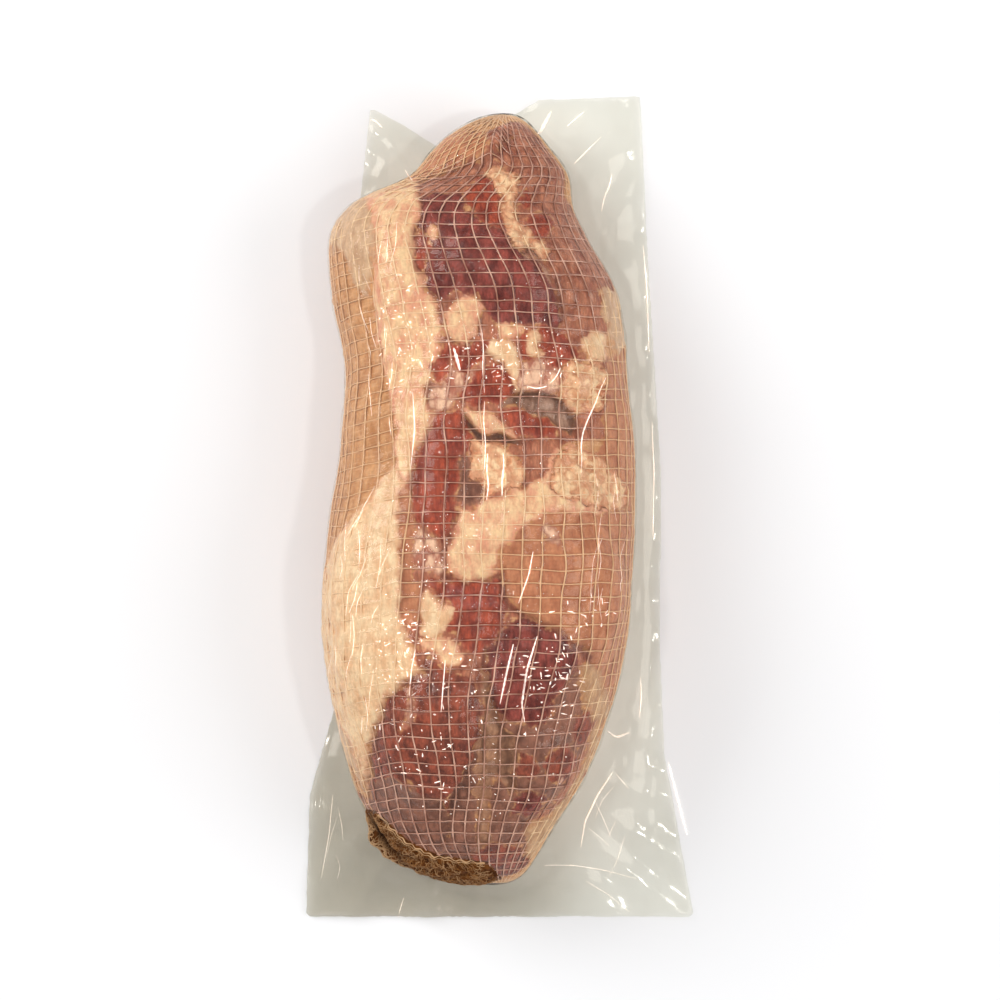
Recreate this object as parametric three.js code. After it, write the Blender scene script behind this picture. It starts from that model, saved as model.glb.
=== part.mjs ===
// A smoked gammon joint as it is sold whole: boned pork leg with its rind on, rolled in a tight
// elastic net and vacuum packed in a clear film bag. It lies on its rind with the cut face up.
// Three pieces: the meat, the gathered brown end of the net at its lower left, and the loose flat
// margin of the bag, a welded sheet that leaves the meat near the table and runs out all round it.
// Millimetres. X runs across, Y along the joint (narrow shank end at +Y), Z up from the table.
import * as THREE from 'three';
import { ParametricGeometry } from 'three/addons/geometries/ParametricGeometry.js';
import { mergeVertices } from 'three/addons/utils/BufferGeometryUtils.js';

// ---- Driving dimensions ------------------------------------------------------------------------
const JOINT_LENGTH = 385.5;
const FOOT_END_Y = -193;          // where the broad end of the meat starts
const FULLNESS = 2.3;             // superellipse exponent of every cross-section
const GIRTH_LEVEL = 0.45;         // height of the widest level, as a share of the section's height
const ROWS_ALONG = 60;
const FACETS_OVER_TOP = 42;
const FACETS_UNDER = 22;

// Cross-sections from the broad end to the shank end. A negative "under" is cut off by the table
// and leaves the flat that the joint lies on.
const SECTIONS = [
  { along: 0.000, left: 10.0, right: 10.0, top: 30, under: 30 },
  { along: 0.020, left: -27.0, right: 25.0, top: 53, under: 12 },
  { along: 0.070, left: -51.0, right: 37.0, top: 76, under: -4 },
  { along: 0.160, left: -67.0, right: 54.0, top: 92, under: -10 },
  { along: 0.290, left: -76.5, right: 71.5, top: 103, under: -12 },
  { along: 0.420, left: -77.5, right: 75.0, top: 105, under: -12 },
  { along: 0.470, left: -76.5, right: 77.0, top: 104, under: -12 },
  { along: 0.560, left: -69.0, right: 77.5, top: 99, under: -12 },
  { along: 0.660, left: -67.0, right: 73.0, top: 95, under: -12 },
  { along: 0.770, left: -75.0, right: 66.0, top: 92, under: -12 },
  { along: 0.830, left: -77.0, right: 55.0, top: 86, under: -12 },
  { along: 0.885, left: -63.5, right: 46.5, top: 77, under: -8 },
  { along: 0.912, left: -35.0, right: 45.5, top: 71, under: -4 },
  { along: 0.955, left: -23.0, right: 35.0, top: 59, under: 8 },
  { along: 1.000, left: 12.5, right: 12.5, top: 27, under: 27 },
];

// Muscles, fat and the creases between them on the cut face. A lump is a low plateau and a crease
// a rounded trough; "turn" is the angle of the long side from +X in degrees.
const RELIEF = [
  { name: 'fat roll', x: -42.5, y: 99, long: 120, wide: 22, turn: 90, rise: 4 },
  { name: 'crease outside the fat roll', x: -54, y: 99, long: 74, wide: 9, turn: 90, rise: -3 },
  { name: 'eye muscle', x: 10, y: 114, long: 78, wide: 40, turn: -30, rise: 6 },
  { name: 'seam beyond the eye muscle', x: 32.5, y: 106.5, long: 52, wide: 9, turn: -52, rise: -3.5 },
  { name: 'crease under the shank flap', x: -12.5, y: 163, long: 50, wide: 9, turn: 18, rise: -5 },
  { name: 'step beside the fat roll', x: -30, y: 119, long: 72, wide: 8, turn: 90, rise: -2 },
  { name: 'fat below the eye', x: -12.5, y: 81.5, long: 24, wide: 20, turn: 0, rise: 2.5 },
  { name: 'heart-shaped fat', x: 16, y: 73, long: 18, wide: 15, turn: 0, rise: 2.5 },
  { name: 'knobbly fat', x: 55, y: 63, long: 32, wide: 28, turn: 0, rise: 4 },
  { name: 'hollow', x: 40, y: 41.5, long: 46, wide: 18, turn: 0, rise: -6 },
  { name: 'crease below the tongue', x: 10, y: 30.5, long: 36, wide: 9, turn: -12, rise: -4 },
  { name: 'tongue of fat', x: 6, y: 37.5, long: 24, wide: 11, turn: -25, rise: 2.5 },
  { name: 'lean strip', x: -20, y: 9, long: 72, wide: 18, turn: 80, rise: 3 },
  { name: 'groove beside the strip', x: -33.5, y: -11, long: 62, wide: 8, turn: 90, rise: -3 },
  { name: 'band of fat', x: 25, y: -11, long: 92, wide: 24, turn: 25, rise: 4 },
  { name: 'rump bulge', x: 47.5, y: -51, long: 92, wide: 56, turn: 90, rise: 8 },
  { name: 'seam, upper part', x: 14, y: -76, long: 62, wide: 12, turn: 80, rise: -5 },
  { name: 'seam, lower part', x: 10, y: -123.5, long: 52, wide: 12, turn: 90, rise: -4 },
  { name: 'square lean', x: -7.5, y: -56, long: 34, wide: 30, turn: 0, rise: 2.5 },
  { name: 'lower left muscle', x: -24, y: -120, long: 78, wide: 60, turn: 70, rise: 6.5 },
  { name: 'lower right muscle', x: 32.5, y: -78.5, long: 48, wide: 28, turn: 90, rise: 3 },
  { name: 'lower right lobe', x: 32.5, y: -133.5, long: 44, wide: 36, turn: 90, rise: 4 },
  { name: 'fat cheek', x: -59, y: -56, long: 112, wide: 36, turn: 90, rise: 4 },
  { name: 'valley beside the cheek', x: -34, y: -51, long: 62, wide: 10, turn: 90, rise: -3 },
];
const RELIEF_STARTS = 0.05;       // share of the height above the girth where relief begins
const RELIEF_FULL = 0.45;
const UNEVENNESS = 0.9;           // long low waves all over, as on any boned and rolled meat

const FILM_GAP = 0.8;             // air left between the meat and the rim of the loose film
const FILM_THICKNESS = 1.2;       // two layers of film with the wrinkles they hold
const FILM_SAMPLE = 7;            // spacing round the edge of the bag
const FILM_ROWS = 6;
const FILM_LIFT = { share: 0.6, least: 6, most: 26 };   // height where the film leaves the meat
const FILM_DROP_LENGTH = 1.7;     // run of the slope down to the table, in lifts
const PLEAT = { length: 34, height: 2.4 };
const RIPPLE = { length: 61, height: 1.1 };
const FAN_POINTS = { low: -120, high: 110 };  // ends of the line that the film's rays start from

// The edge of the bag, clockwise from the tip of the ear at its top left. Along the left side it
// lies tucked under the meat.
const BAG_EDGE = [
  [-56, 199], [-38, 189.5], [-21, 178.5], [-1, 181], [16, 195], [30, 203], [81.5, 205],
  [85.5, 124], [92.5, 9], [91.5, -71], [94, -131], [109, -213.5], [-89, -213.5],
  [-87, -151], [-79, -122], [-71, -96], [-71, -51], [-72, -21], [-64, 29], [-63, 49],
  [-67, 79], [-71, 109], [-71, 129], [-64, 141.5], [-61.5, 151.5],
];

// The bunched end of the net lies on the lower left corner of the broad end. It is set out by
// angles from a point inside the meat: sideways from -Y towards -X, and up from the level.
const TAIL = {
  heart: new THREE.Vector3(-15, -150, 38),
  middle: 25,
  halfSpan: 58,
  low: -9,
  high: 36,
  endShare: 0.4,                  // height of the pad's two ends, as a share of its middle
  gap: 0.6,
  rim: 1.0,
  body: 4.2,
  gathers: 17,
  gatherDepth: 0.9,
  lipAt: 58,                      // the frill that curls out at the left end
  lipWidth: 20,
  lipLevel: 6,
  lipHeight: 13,
  lipRise: 6.5,
  columns: 32,
  rows: 9,
};

const FINISH = {
  meat: { color: 0xb5704f, roughness: 0.42, metalness: 0 },
  net: { color: 0x96693c, roughness: 0.85, metalness: 0 },
  film: { color: 0xd9d7cf, roughness: 0.18, metalness: 0, transparent: true, opacity: 0.4 },
};

// ---- Small helpers -----------------------------------------------------------------------------
const { smoothstep, lerp, clamp, degToRad } = THREE.MathUtils;
const signedPower = (value, power) => Math.sign(value) * Math.abs(value) ** power;

// A curve through the given values that never overshoots between them.
function steadyCurve(places, values) {
  const last = places.length - 1;
  const slopes = [];
  for (let i = 0; i < last; i += 1) {
    slopes.push((values[i + 1] - values[i]) / (places[i + 1] - places[i]));
  }
  const tangents = values.map((value, i) => {
    if (i === 0) return slopes[0];
    if (i === last) return slopes[last - 1];
    const before = slopes[i - 1];
    const after = slopes[i];
    return before * after <= 0 ? 0 : (2 * before * after) / (before + after);
  });
  return (place) => {
    let i = 0;
    while (i < last - 1 && place > places[i + 1]) i += 1;
    const step = places[i + 1] - places[i];
    const t = clamp((place - places[i]) / step, 0, 1);
    const rest = 1 - t;
    return values[i] * (1 + 2 * t) * rest * rest + tangents[i] * step * t * rest * rest
      + values[i + 1] * t * t * (3 - 2 * t) - tangents[i + 1] * step * t * t * rest;
  };
}

// Six times the volume inside a closed set of triangles; it is negative where they face inwards.
function signedVolume(position, corners) {
  const [a, b, c] = [new THREE.Vector3(), new THREE.Vector3(), new THREE.Vector3()];
  let sum = 0;
  for (let i = 0; i < corners.length; i += 3) {
    a.fromBufferAttribute(position, corners[i]);
    b.fromBufferAttribute(position, corners[i + 1]);
    c.fromBufferAttribute(position, corners[i + 2]);
    sum += a.dot(b.cross(c));
  }
  return sum;
}

// One closed body from a surface function of u and v: seams and poles are welded, the triangles
// that a pole flattens are dropped, and the faces point outwards.
function closedBody(pointAt, columns, rows) {
  const sheet = new ParametricGeometry(pointAt, columns, rows);
  sheet.deleteAttribute('normal');
  sheet.deleteAttribute('uv');
  const welded = mergeVertices(sheet, 1e-4);
  const corners = [];
  const { array } = welded.index;
  for (let i = 0; i < array.length; i += 3) {
    const [a, b, c] = [array[i], array[i + 1], array[i + 2]];
    if (a !== b && b !== c && c !== a) corners.push(a, b, c);
  }
  if (signedVolume(welded.getAttribute('position'), corners) < 0) corners.reverse();
  welded.setIndex(corners);
  welded.computeVertexNormals();
  return welded;
}

// ---- The meat ----------------------------------------------------------------------------------
const roundness = (along) => Math.acos(1 - 2 * along) / Math.PI;   // even steps round both ends
const places = SECTIONS.map((section) => roundness(section.along));
const profile = {};
for (const side of ['left', 'right', 'top', 'under']) {
  profile[side] = steadyCurve(places, SECTIONS.map((section) => section[side]));
}

function reliefAt(x, y) {
  let height = 0;
  for (const patch of RELIEF) {
    const turn = degToRad(patch.turn);
    const dx = x - patch.x;
    const dy = y - patch.y;
    const u = (dx * Math.cos(turn) + dy * Math.sin(turn)) / (patch.long / 2);
    const v = (dy * Math.cos(turn) - dx * Math.sin(turn)) / (patch.wide / 2);
    const r = Math.hypot(u, v);
    if (r < 1) {
      const shape = patch.rise > 0 ? 1 - smoothstep(r, 0.4, 1) : (1 - r * r) ** 2;
      height += patch.rise * shape;
    }
  }
  return height;
}

const unevenAt = (x, y, z) => UNEVENNESS * (Math.sin(0.055 * y + 0.03 * x + 1.1)
  + 0.7 * Math.sin(0.083 * y - 0.06 * z + 0.4) + 0.5 * Math.sin(0.12 * x + 0.07 * z));

function meatPoint(u, v, target) {
  const place = v;
  const y = FOOT_END_Y + (JOINT_LENGTH * (1 - Math.cos(Math.PI * place))) / 2;
  const left = profile.left(place);
  const right = profile.right(place);
  const top = profile.top(place);
  const under = profile.under(place);
  const middleX = (left + right) / 2;
  const middleZ = lerp(under, top, GIRTH_LEVEL);
  const facet = u * (FACETS_OVER_TOP + FACETS_UNDER);
  const turn = facet <= FACETS_OVER_TOP
    ? (Math.PI * facet) / FACETS_OVER_TOP
    : Math.PI + (Math.PI * (facet - FACETS_OVER_TOP)) / FACETS_UNDER;
  const sine = Math.sin(turn);
  let x = ((right - left) / 2) * signedPower(Math.cos(turn), 2 / FULLNESS);
  let z = (sine > 0 ? top - middleZ : middleZ - under) * signedPower(sine, 2 / FULLNESS);
  const reach = Math.hypot(x, z);
  if (reach > 1e-6) {
    const upward = smoothstep(z / (top - middleZ), RELIEF_STARTS, RELIEF_FULL);
    const endFade = smoothstep(Math.sin(Math.PI * place), 0, 0.35);
    const lift = reliefAt(middleX + x, y) * upward + unevenAt(middleX + x, y, z) * endFade;
    const grow = 1 + lift / Math.max(reach, 12);
    x *= grow;
    z *= grow;
  }
  target.set(middleX + x, y, Math.max(0, middleZ + z));
}

const meatBody = closedBody(meatPoint, FACETS_OVER_TOP + FACETS_UNDER, ROWS_ALONG);
const meatTarget = new THREE.Mesh(meatBody, new THREE.MeshBasicMaterial({ side: THREE.DoubleSide }));
const ray = new THREE.Raycaster();

// How far a ray from inside the meat runs until it leaves it for good.
function reachFrom(origin, direction) {
  ray.set(origin, direction);
  const hits = ray.intersectObject(meatTarget);
  return hits.length ? hits[hits.length - 1].distance : 0;
}

// ---- The loose film ----------------------------------------------------------------------------
function edgeSamples() {
  const samples = [];
  let run = 0;
  BAG_EDGE.forEach(([x, y], i) => {
    const [nextX, nextY] = BAG_EDGE[(i + 1) % BAG_EDGE.length];
    const length = Math.hypot(nextX - x, nextY - y);
    const count = Math.max(1, Math.round(length / FILM_SAMPLE));
    for (let k = 0; k < count; k += 1) {
      samples.push({ x: lerp(x, nextX, k / count), y: lerp(y, nextY, k / count), run });
      run += length / count;
    }
  });
  return samples;
}

// Mean of each value and its neighbours round a closed loop.
function evenedOut(values, neighbours) {
  const count = values.length;
  return values.map((value, i) => {
    let sum = 0;
    for (let k = -neighbours; k <= neighbours; k += 1) sum += values[(i + k + count) % count];
    return sum / (2 * neighbours + 1);
  });
}

function filmBody() {
  const spokes = edgeSamples().map((sample) => {
    const startY = clamp(sample.y, FAN_POINTS.low, FAN_POINTS.high);
    const direction = new THREE.Vector3(sample.x, sample.y - startY, 0);
    const reach = direction.length();
    return { ...sample, startY, reach, direction: direction.normalize() };
  });
  const rootRadius = (spoke, height) => FILM_GAP
    + reachFrom(new THREE.Vector3(0, spoke.startY, height), spoke.direction);
  const margins = spokes.map((spoke) => spoke.reach - rootRadius(spoke, FILM_LIFT.least));
  const lifts = evenedOut(margins, 2).map((margin) => (
    clamp(FILM_LIFT.share * margin, FILM_LIFT.least, FILM_LIFT.most)));
  const loops = spokes.map((spoke, i) => {
    const lift = lifts[i];
    const inner = [FILM_THICKNESS, 0].map((extra) => rootRadius(spoke, lift + extra));
    const loop = [];
    for (let k = 0; k < 2 * FILM_ROWS; k += 1) {
      const onTop = k < FILM_ROWS;
      const share = (onTop ? k : 2 * FILM_ROWS - 1 - k) / (FILM_ROWS - 1);
      const radius = lerp(inner[onTop ? 0 : 1], spoke.reach, share ** 1.25);
      const margin = spoke.reach - inner[1];
      const out = radius - inner[1];
      const run = Math.min(FILM_DROP_LENGTH * lift, 0.85 * margin);
      const slope = lift * (1 - Math.min(1, out / run)) ** 2;
      const loose = smoothstep(out, 0, 14) * smoothstep(margin, 8, 26);
      const pleat = PLEAT.height * (0.5 + 0.5 * Math.cos((2 * Math.PI * spoke.run) / PLEAT.length));
      const ripple = RIPPLE.height * (0.5 + 0.5 * Math.sin((2 * Math.PI * (spoke.run + 2 * out))
        / RIPPLE.length));
      const height = slope + (pleat + ripple) * loose + (onTop ? FILM_THICKNESS : 0);
      loop.push(new THREE.Vector3(
        spoke.direction.x * radius,
        spoke.startY + spoke.direction.y * radius,
        height,
      ));
    }
    return loop;
  });
  const around = loops.length;
  const across = 2 * FILM_ROWS;
  return closedBody((u, v, target) => {
    const loop = loops[Math.round(u * around) % around];
    target.copy(loop[Math.round(v * across) % across]);
  }, around, across);
}

// ---- The gathered end of the net ---------------------------------------------------------------
function tailBody() {
  const { columns, rows } = TAIL;
  const direction = new THREE.Vector3();
  const pointAt = (column, row, outside) => {
    const side = TAIL.middle + TAIL.halfSpan * (2 * (column / columns) - 1);
    const bulge = Math.sqrt(Math.sin((Math.PI * column) / columns));
    const share = 0.5 + (row / rows - 0.5) * lerp(TAIL.endShare, 1, bulge);
    const rise = lerp(TAIL.low, TAIL.high, share);
    const azimuth = degToRad(side);
    const level = degToRad(rise);
    direction.set(-Math.sin(azimuth) * Math.cos(level), -Math.cos(azimuth) * Math.cos(level),
      Math.sin(level));
    let distance = reachFrom(TAIL.heart, direction) + TAIL.gap;
    if (outside) {
      const up = Math.sqrt(Math.sin((Math.PI * row) / rows));
      const gather = TAIL.gatherDepth * Math.cos((2 * Math.PI * TAIL.gathers * column) / columns);
      const lip = TAIL.lipRise * Math.exp(-(((side - TAIL.lipAt) / TAIL.lipWidth) ** 2)
        - (((rise - TAIL.lipLevel) / TAIL.lipHeight) ** 2));
      distance += TAIL.rim + (TAIL.body + gather + lip) * bulge * up;
    }
    return TAIL.heart.clone().addScaledVector(direction, distance);
  };
  // One column beyond each end lies midway between the two faces and closes the pad there.
  const around = 2 * (rows + 1);
  return closedBody((u, v, target) => {
    const k = Math.round(v * around) % around;
    const outside = k <= rows;
    const row = outside ? k : around - 1 - k;
    const step = Math.round(u * (columns + 2)) - 1;
    const column = clamp(step, 0, columns);
    target.copy(pointAt(column, row, outside));
    if (step !== column) target.lerp(pointAt(column, row, !outside), 0.5);
  }, columns + 2, around);
}

// ---- Assembly ----------------------------------------------------------------------------------
function piece(name, geometry, finish) {
  const mesh = new THREE.Mesh(geometry, new THREE.MeshStandardMaterial(finish));
  mesh.name = name;
  return mesh;
}

const packed = new THREE.Group();
packed.add(piece('gammon_joint', meatBody, FINISH.meat));
packed.add(piece('net_tail', tailBody(), FINISH.net));
packed.add(piece('vacuum_bag', filmBody(), FINISH.film));

// The origin is under the middle of the whole pack, on the table.
const box = new THREE.Box3().setFromObject(packed);
packed.position.set(-(box.min.x + box.max.x) / 2, -(box.min.y + box.max.y) / 2, -box.min.z);

const group = new THREE.Group();
group.add(packed);
export default group;
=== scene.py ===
"""A smoked gammon joint in its elastic net and clear vacuum bag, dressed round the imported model.

Lengths are in metres, in the model's own frame. The cut face of the meat is drawn on a plan of
half-millimetre squares seen from above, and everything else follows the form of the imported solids.
"""
import logging
import math
from dataclasses import dataclass, field
from enum import Enum
from typing import Any

import bmesh
import bpy
import numpy as np
from bpy.types import Material, Node, NodeSocket, NodeTree, Object
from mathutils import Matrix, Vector
from mathutils.bvhtree import BVHTree


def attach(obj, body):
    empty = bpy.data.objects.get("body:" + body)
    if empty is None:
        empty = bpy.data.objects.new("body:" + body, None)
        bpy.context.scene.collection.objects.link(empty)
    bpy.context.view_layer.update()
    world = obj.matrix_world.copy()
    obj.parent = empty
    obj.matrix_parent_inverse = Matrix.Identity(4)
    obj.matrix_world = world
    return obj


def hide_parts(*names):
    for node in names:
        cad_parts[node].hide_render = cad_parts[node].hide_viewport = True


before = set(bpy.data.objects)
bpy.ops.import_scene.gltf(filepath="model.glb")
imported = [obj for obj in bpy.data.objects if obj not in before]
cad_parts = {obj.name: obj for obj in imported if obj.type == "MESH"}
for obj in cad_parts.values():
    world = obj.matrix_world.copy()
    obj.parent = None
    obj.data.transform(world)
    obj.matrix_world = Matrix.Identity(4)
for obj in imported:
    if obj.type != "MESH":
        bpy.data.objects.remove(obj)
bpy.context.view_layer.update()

LOG = logging.getLogger("gammon")
MM = 0.001
BODY = "root"
PLAN_SQUARE = 0.5 * MM
PLAN_CENTRE = (500.0, 506.5)
Outline = tuple[tuple[float, float], ...]
# Node settings that the finishes share.
EASED = {"interpolation_type": "SMOOTHSTEP"}
COLOURS = {"data_type": "RGBA"}
SHADED = {"data_type": "RGBA", "blend_type": "MULTIPLY"}


# ---- Colours, nodes and meshes ---------------------------
def linear(colour: str) -> tuple[float, float, float, float]:
    """Turn an sRGB hex colour into linear light.

    Args:
        colour: Six hex digits after a hash.

    Returns:
        Red, green, blue and an alpha of one.
    """
    parts = [int(colour[i:i + 2], 16) / 255 for i in (1, 3, 5)]
    light = [c / 12.92 if c <= 0.04045 else ((c + 0.055) / 1.055) ** 2.4 for c in parts]
    return light[0], light[1], light[2], 1.0


def add_node(tree: NodeTree, kind: str, settings: dict[str, Any] | None = None,
             inputs: dict[Any, Any] | None = None) -> Node:
    """Add one node with its settings, and fill or link its inputs.

    Args:
        tree: The node tree.
        kind: The node's type name.
        settings: Node properties by name.
        inputs: Socket name or number, with a value or the output socket that feeds it.

    Returns:
        The new node.
    """
    node = tree.nodes.new(kind)
    for name, value in (settings or {}).items():
        setattr(node, name, value)
    for socket, value in (inputs or {}).items():
        if isinstance(value, NodeSocket):
            tree.links.new(value, node.inputs[socket])
        else:
            node.inputs[socket].default_value = value
    return node


def new_material(name: str) -> tuple[Material, NodeTree]:
    """Make an empty node material.

    Args:
        name: The material's name.

    Returns:
        The material and its tree.
    """
    material = bpy.data.materials.new(name)
    material.use_nodes = True
    material.node_tree.nodes.clear()
    return material, material.node_tree


def mesh_object(name: str, points: np.ndarray, faces: list, smooth: bool = True,
                edges: list | None = None) -> Object:
    """Make a mesh object that sits at the origin.

    Args:
        name: The piece's name.
        points: Corner places, one row each.
        faces: Corner numbers of each face.
        smooth: Whether it is shaded smooth.
        edges: Corner pairs, where there are no faces.

    Returns:
        The object, linked into the scene.
    """
    mesh = bpy.data.meshes.new(name)
    mesh.from_pydata(points.reshape(-1, 3).tolist(), edges or [], faces)
    mesh.update()
    if smooth and faces:
        mesh.shade_smooth()
    piece = bpy.data.objects.new(name, mesh)
    bpy.context.scene.collection.objects.link(piece)
    return piece


def face_outwards(piece: Object) -> None:
    """Turn a closed mesh's faces so that it holds a positive volume.

    Args:
        piece: The closed mesh.
    """
    form = bmesh.new()
    form.from_mesh(piece.data)
    if form.calc_volume(signed=True) < 0:
        bmesh.ops.reverse_faces(form, faces=form.faces)
        form.to_mesh(piece.data)
    form.free()


def search_tree(piece: Object) -> BVHTree:
    """Make a search tree of a mesh.

    Args:
        piece: The mesh object.

    Returns:
        The tree.
    """
    form = bmesh.new()
    form.from_mesh(piece.data)
    tree = BVHTree.FromBMesh(form)
    form.free()
    return tree


def set_values(piece: Object, name: str, values: np.ndarray) -> None:
    """Store one number for each corner of a mesh, under an attribute's name."""
    attribute = piece.data.attributes.new(name, "FLOAT", "POINT")
    attribute.data.foreach_set("value", np.asarray(values, np.float32).ravel())


def smooth_step(values: np.ndarray, low: float, high: float) -> np.ndarray:
    """Ease from 0 at low to 1 at high."""
    share = np.clip((values - low) / (high - low), 0, 1)
    return share * share * (3 - 2 * share)


@dataclass(frozen=True)
class Waves:
    """Smooth seeded unevenness in space, with a spread of about one."""

    seed: int
    length: float
    count: int = 16
    shortest: float = 0.65
    spread: float = 0.9

    def at(self, points: np.ndarray) -> np.ndarray:
        """Sum plane waves of many directions.

        Args:
            points: Places, with x, y and z last.

        Returns:
            One number for each place.
        """
        draw = np.random.default_rng(self.seed)
        ways = draw.normal(size=(self.count, 3))
        ways /= np.linalg.norm(ways, axis=1)[:, None]
        lengths = self.length * (self.shortest + self.spread * draw.random(self.count))
        phases = draw.random(self.count) * math.tau
        total = np.zeros(points.shape[:-1])
        for way, length, phase in zip(ways, lengths, phases):
            total += np.sin(points @ way * (math.tau / length) + phase)
        return total * math.sqrt(2 / self.count)


def on_table(plan: np.ndarray) -> np.ndarray:
    """Turn places on the plan, counted right and down, into metres along X and Y."""
    return (plan - np.array(PLAN_CENTRE)) * np.array([PLAN_SQUARE, -PLAN_SQUARE])


def on_plan(places: np.ndarray) -> np.ndarray:
    """Turn places in metres into places on the plan."""
    return places[..., :2] / np.array([PLAN_SQUARE, -PLAN_SQUARE]) + np.array(PLAN_CENTRE)


# ---- The form of the meat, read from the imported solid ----
@dataclass
class MeatForm:
    """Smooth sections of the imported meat, as distances from a line through its middle."""

    node: str = "gammon_joint"
    rows: int = 300
    angles: int = 264
    smoothing_levels: int = 1
    weld: float = 0.01 * MM
    row_gap: float = 0.02 * MM
    middle_height: float = 0.45
    film_stretch: float = 0.2 * MM
    ends: np.ndarray = field(init=False)
    centres: np.ndarray = field(init=False)
    turns: np.ndarray = field(init=False)
    reach: np.ndarray = field(init=False)

    def __post_init__(self) -> None:
        """Measure the solid."""
        corners, tree = self._smooth_solid()
        self._measure(corners, tree)

    def _smooth_solid(self) -> tuple[np.ndarray, BVHTree]:
        """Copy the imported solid, weld it and round its facets.

        Returns:
            The solid's own corners, and a search tree of the rounded copy.
        """
        form = bmesh.new()
        form.from_mesh(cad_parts[self.node].data)
        bmesh.ops.remove_doubles(form, verts=form.verts, dist=self.weld)
        corners = np.array([v.co for v in form.verts])
        bmesh.ops.join_triangles(form, faces=form.faces, angle_face_threshold=math.pi,
                                 angle_shape_threshold=math.pi, cmp_seam=False)
        copy = bpy.data.meshes.new("rounding")
        form.to_mesh(copy)
        form.free()
        carrier = bpy.data.objects.new("rounding", copy)
        bpy.context.scene.collection.objects.link(carrier)
        rounding = carrier.modifiers.new("rounding", "SUBSURF")
        rounding.levels = rounding.render_levels = self.smoothing_levels
        graph = bpy.context.evaluated_depsgraph_get()
        rounded = bpy.data.meshes.new_from_object(carrier.evaluated_get(graph))
        tree = BVHTree.FromPolygons([v.co for v in rounded.vertices],
                                    [tuple(p.vertices) for p in rounded.polygons])
        bpy.data.objects.remove(carrier)
        return corners, tree

    def _measure(self, corners: np.ndarray, tree: BVHTree) -> None:
        """Cast rays out from the middle line in every section.

        Args:
            corners: The solid's corners, which lie in rows across it.
            tree: The rounded solid.
        """
        levels = np.unique(np.round(corners[:, 1], 5))
        middles = []
        for level in levels:
            row = corners[np.abs(corners[:, 1] - level) < self.row_gap]
            low, high = row.min(0), row.max(0)
            middles.append(((low[0] + high[0]) / 2,
                            low[2] + self.middle_height * (high[2] - low[2])))
        middle_x, middle_z = np.array(middles).T
        low, high = levels[0], levels[-1]
        self.ends = np.array([[middle_x[0], low, middle_z[0]], [middle_x[-1], high, middle_z[-1]]])
        share = (1 - np.cos(math.pi * (np.arange(self.rows) + 0.5) / self.rows)) / 2
        places = low + (high - low) * share
        self.centres = np.stack([np.interp(places, levels, middle_x), places,
                                 np.interp(places, levels, middle_z)], axis=1)
        self.turns = math.tau * np.arange(self.angles) / self.angles - math.pi / 2
        self.reach = np.zeros((self.rows, self.angles))
        for r, centre in enumerate(self.centres):
            start = Vector(centre)
            for a, turn in enumerate(self.turns):
                way = Vector((math.cos(turn), 0.0, math.sin(turn)))
                hit = tree.ray_cast(start, way)
                self.reach[r, a] = hit[3] if hit[0] else np.nan
        for a in range(self.angles):
            column = self.reach[:, a]
            bad = np.isnan(column)
            column[bad] = np.interp(np.flatnonzero(bad), np.flatnonzero(~bad), column[~bad])

    def bridged(self, span: float) -> np.ndarray:
        """Fill hollows narrower than a span, as stretched film does.

        Args:
            span: Width of the hollows, in metres.

        Returns:
            Distances like those of the meat, never smaller.
        """
        middle = self.rows // 2
        step = abs(self.centres[middle, 1] - self.centres[middle + 1, 1])
        passes = max(2, int(2 * (span / step) ** 2 / 6))
        blurred = self.reach.copy()
        for _ in range(passes):
            across = (np.roll(blurred, 1, 1) + np.roll(blurred, -1, 1)) / 2
            along = blurred.copy()
            along[1:-1] = (blurred[:-2] + blurred[2:]) / 2
            blurred = 0.5 * blurred + 0.25 * across + 0.25 * along
        return np.maximum(self.reach, blurred - self.film_stretch)

    def points(self, reach: np.ndarray) -> np.ndarray:
        """Turn distances from the middle line into places, row by row."""
        ways = np.stack([np.cos(self.turns), np.zeros(self.angles), np.sin(self.turns)], axis=1)
        return self.centres[:, None, :] + ways[None] * reach[..., None]


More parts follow.
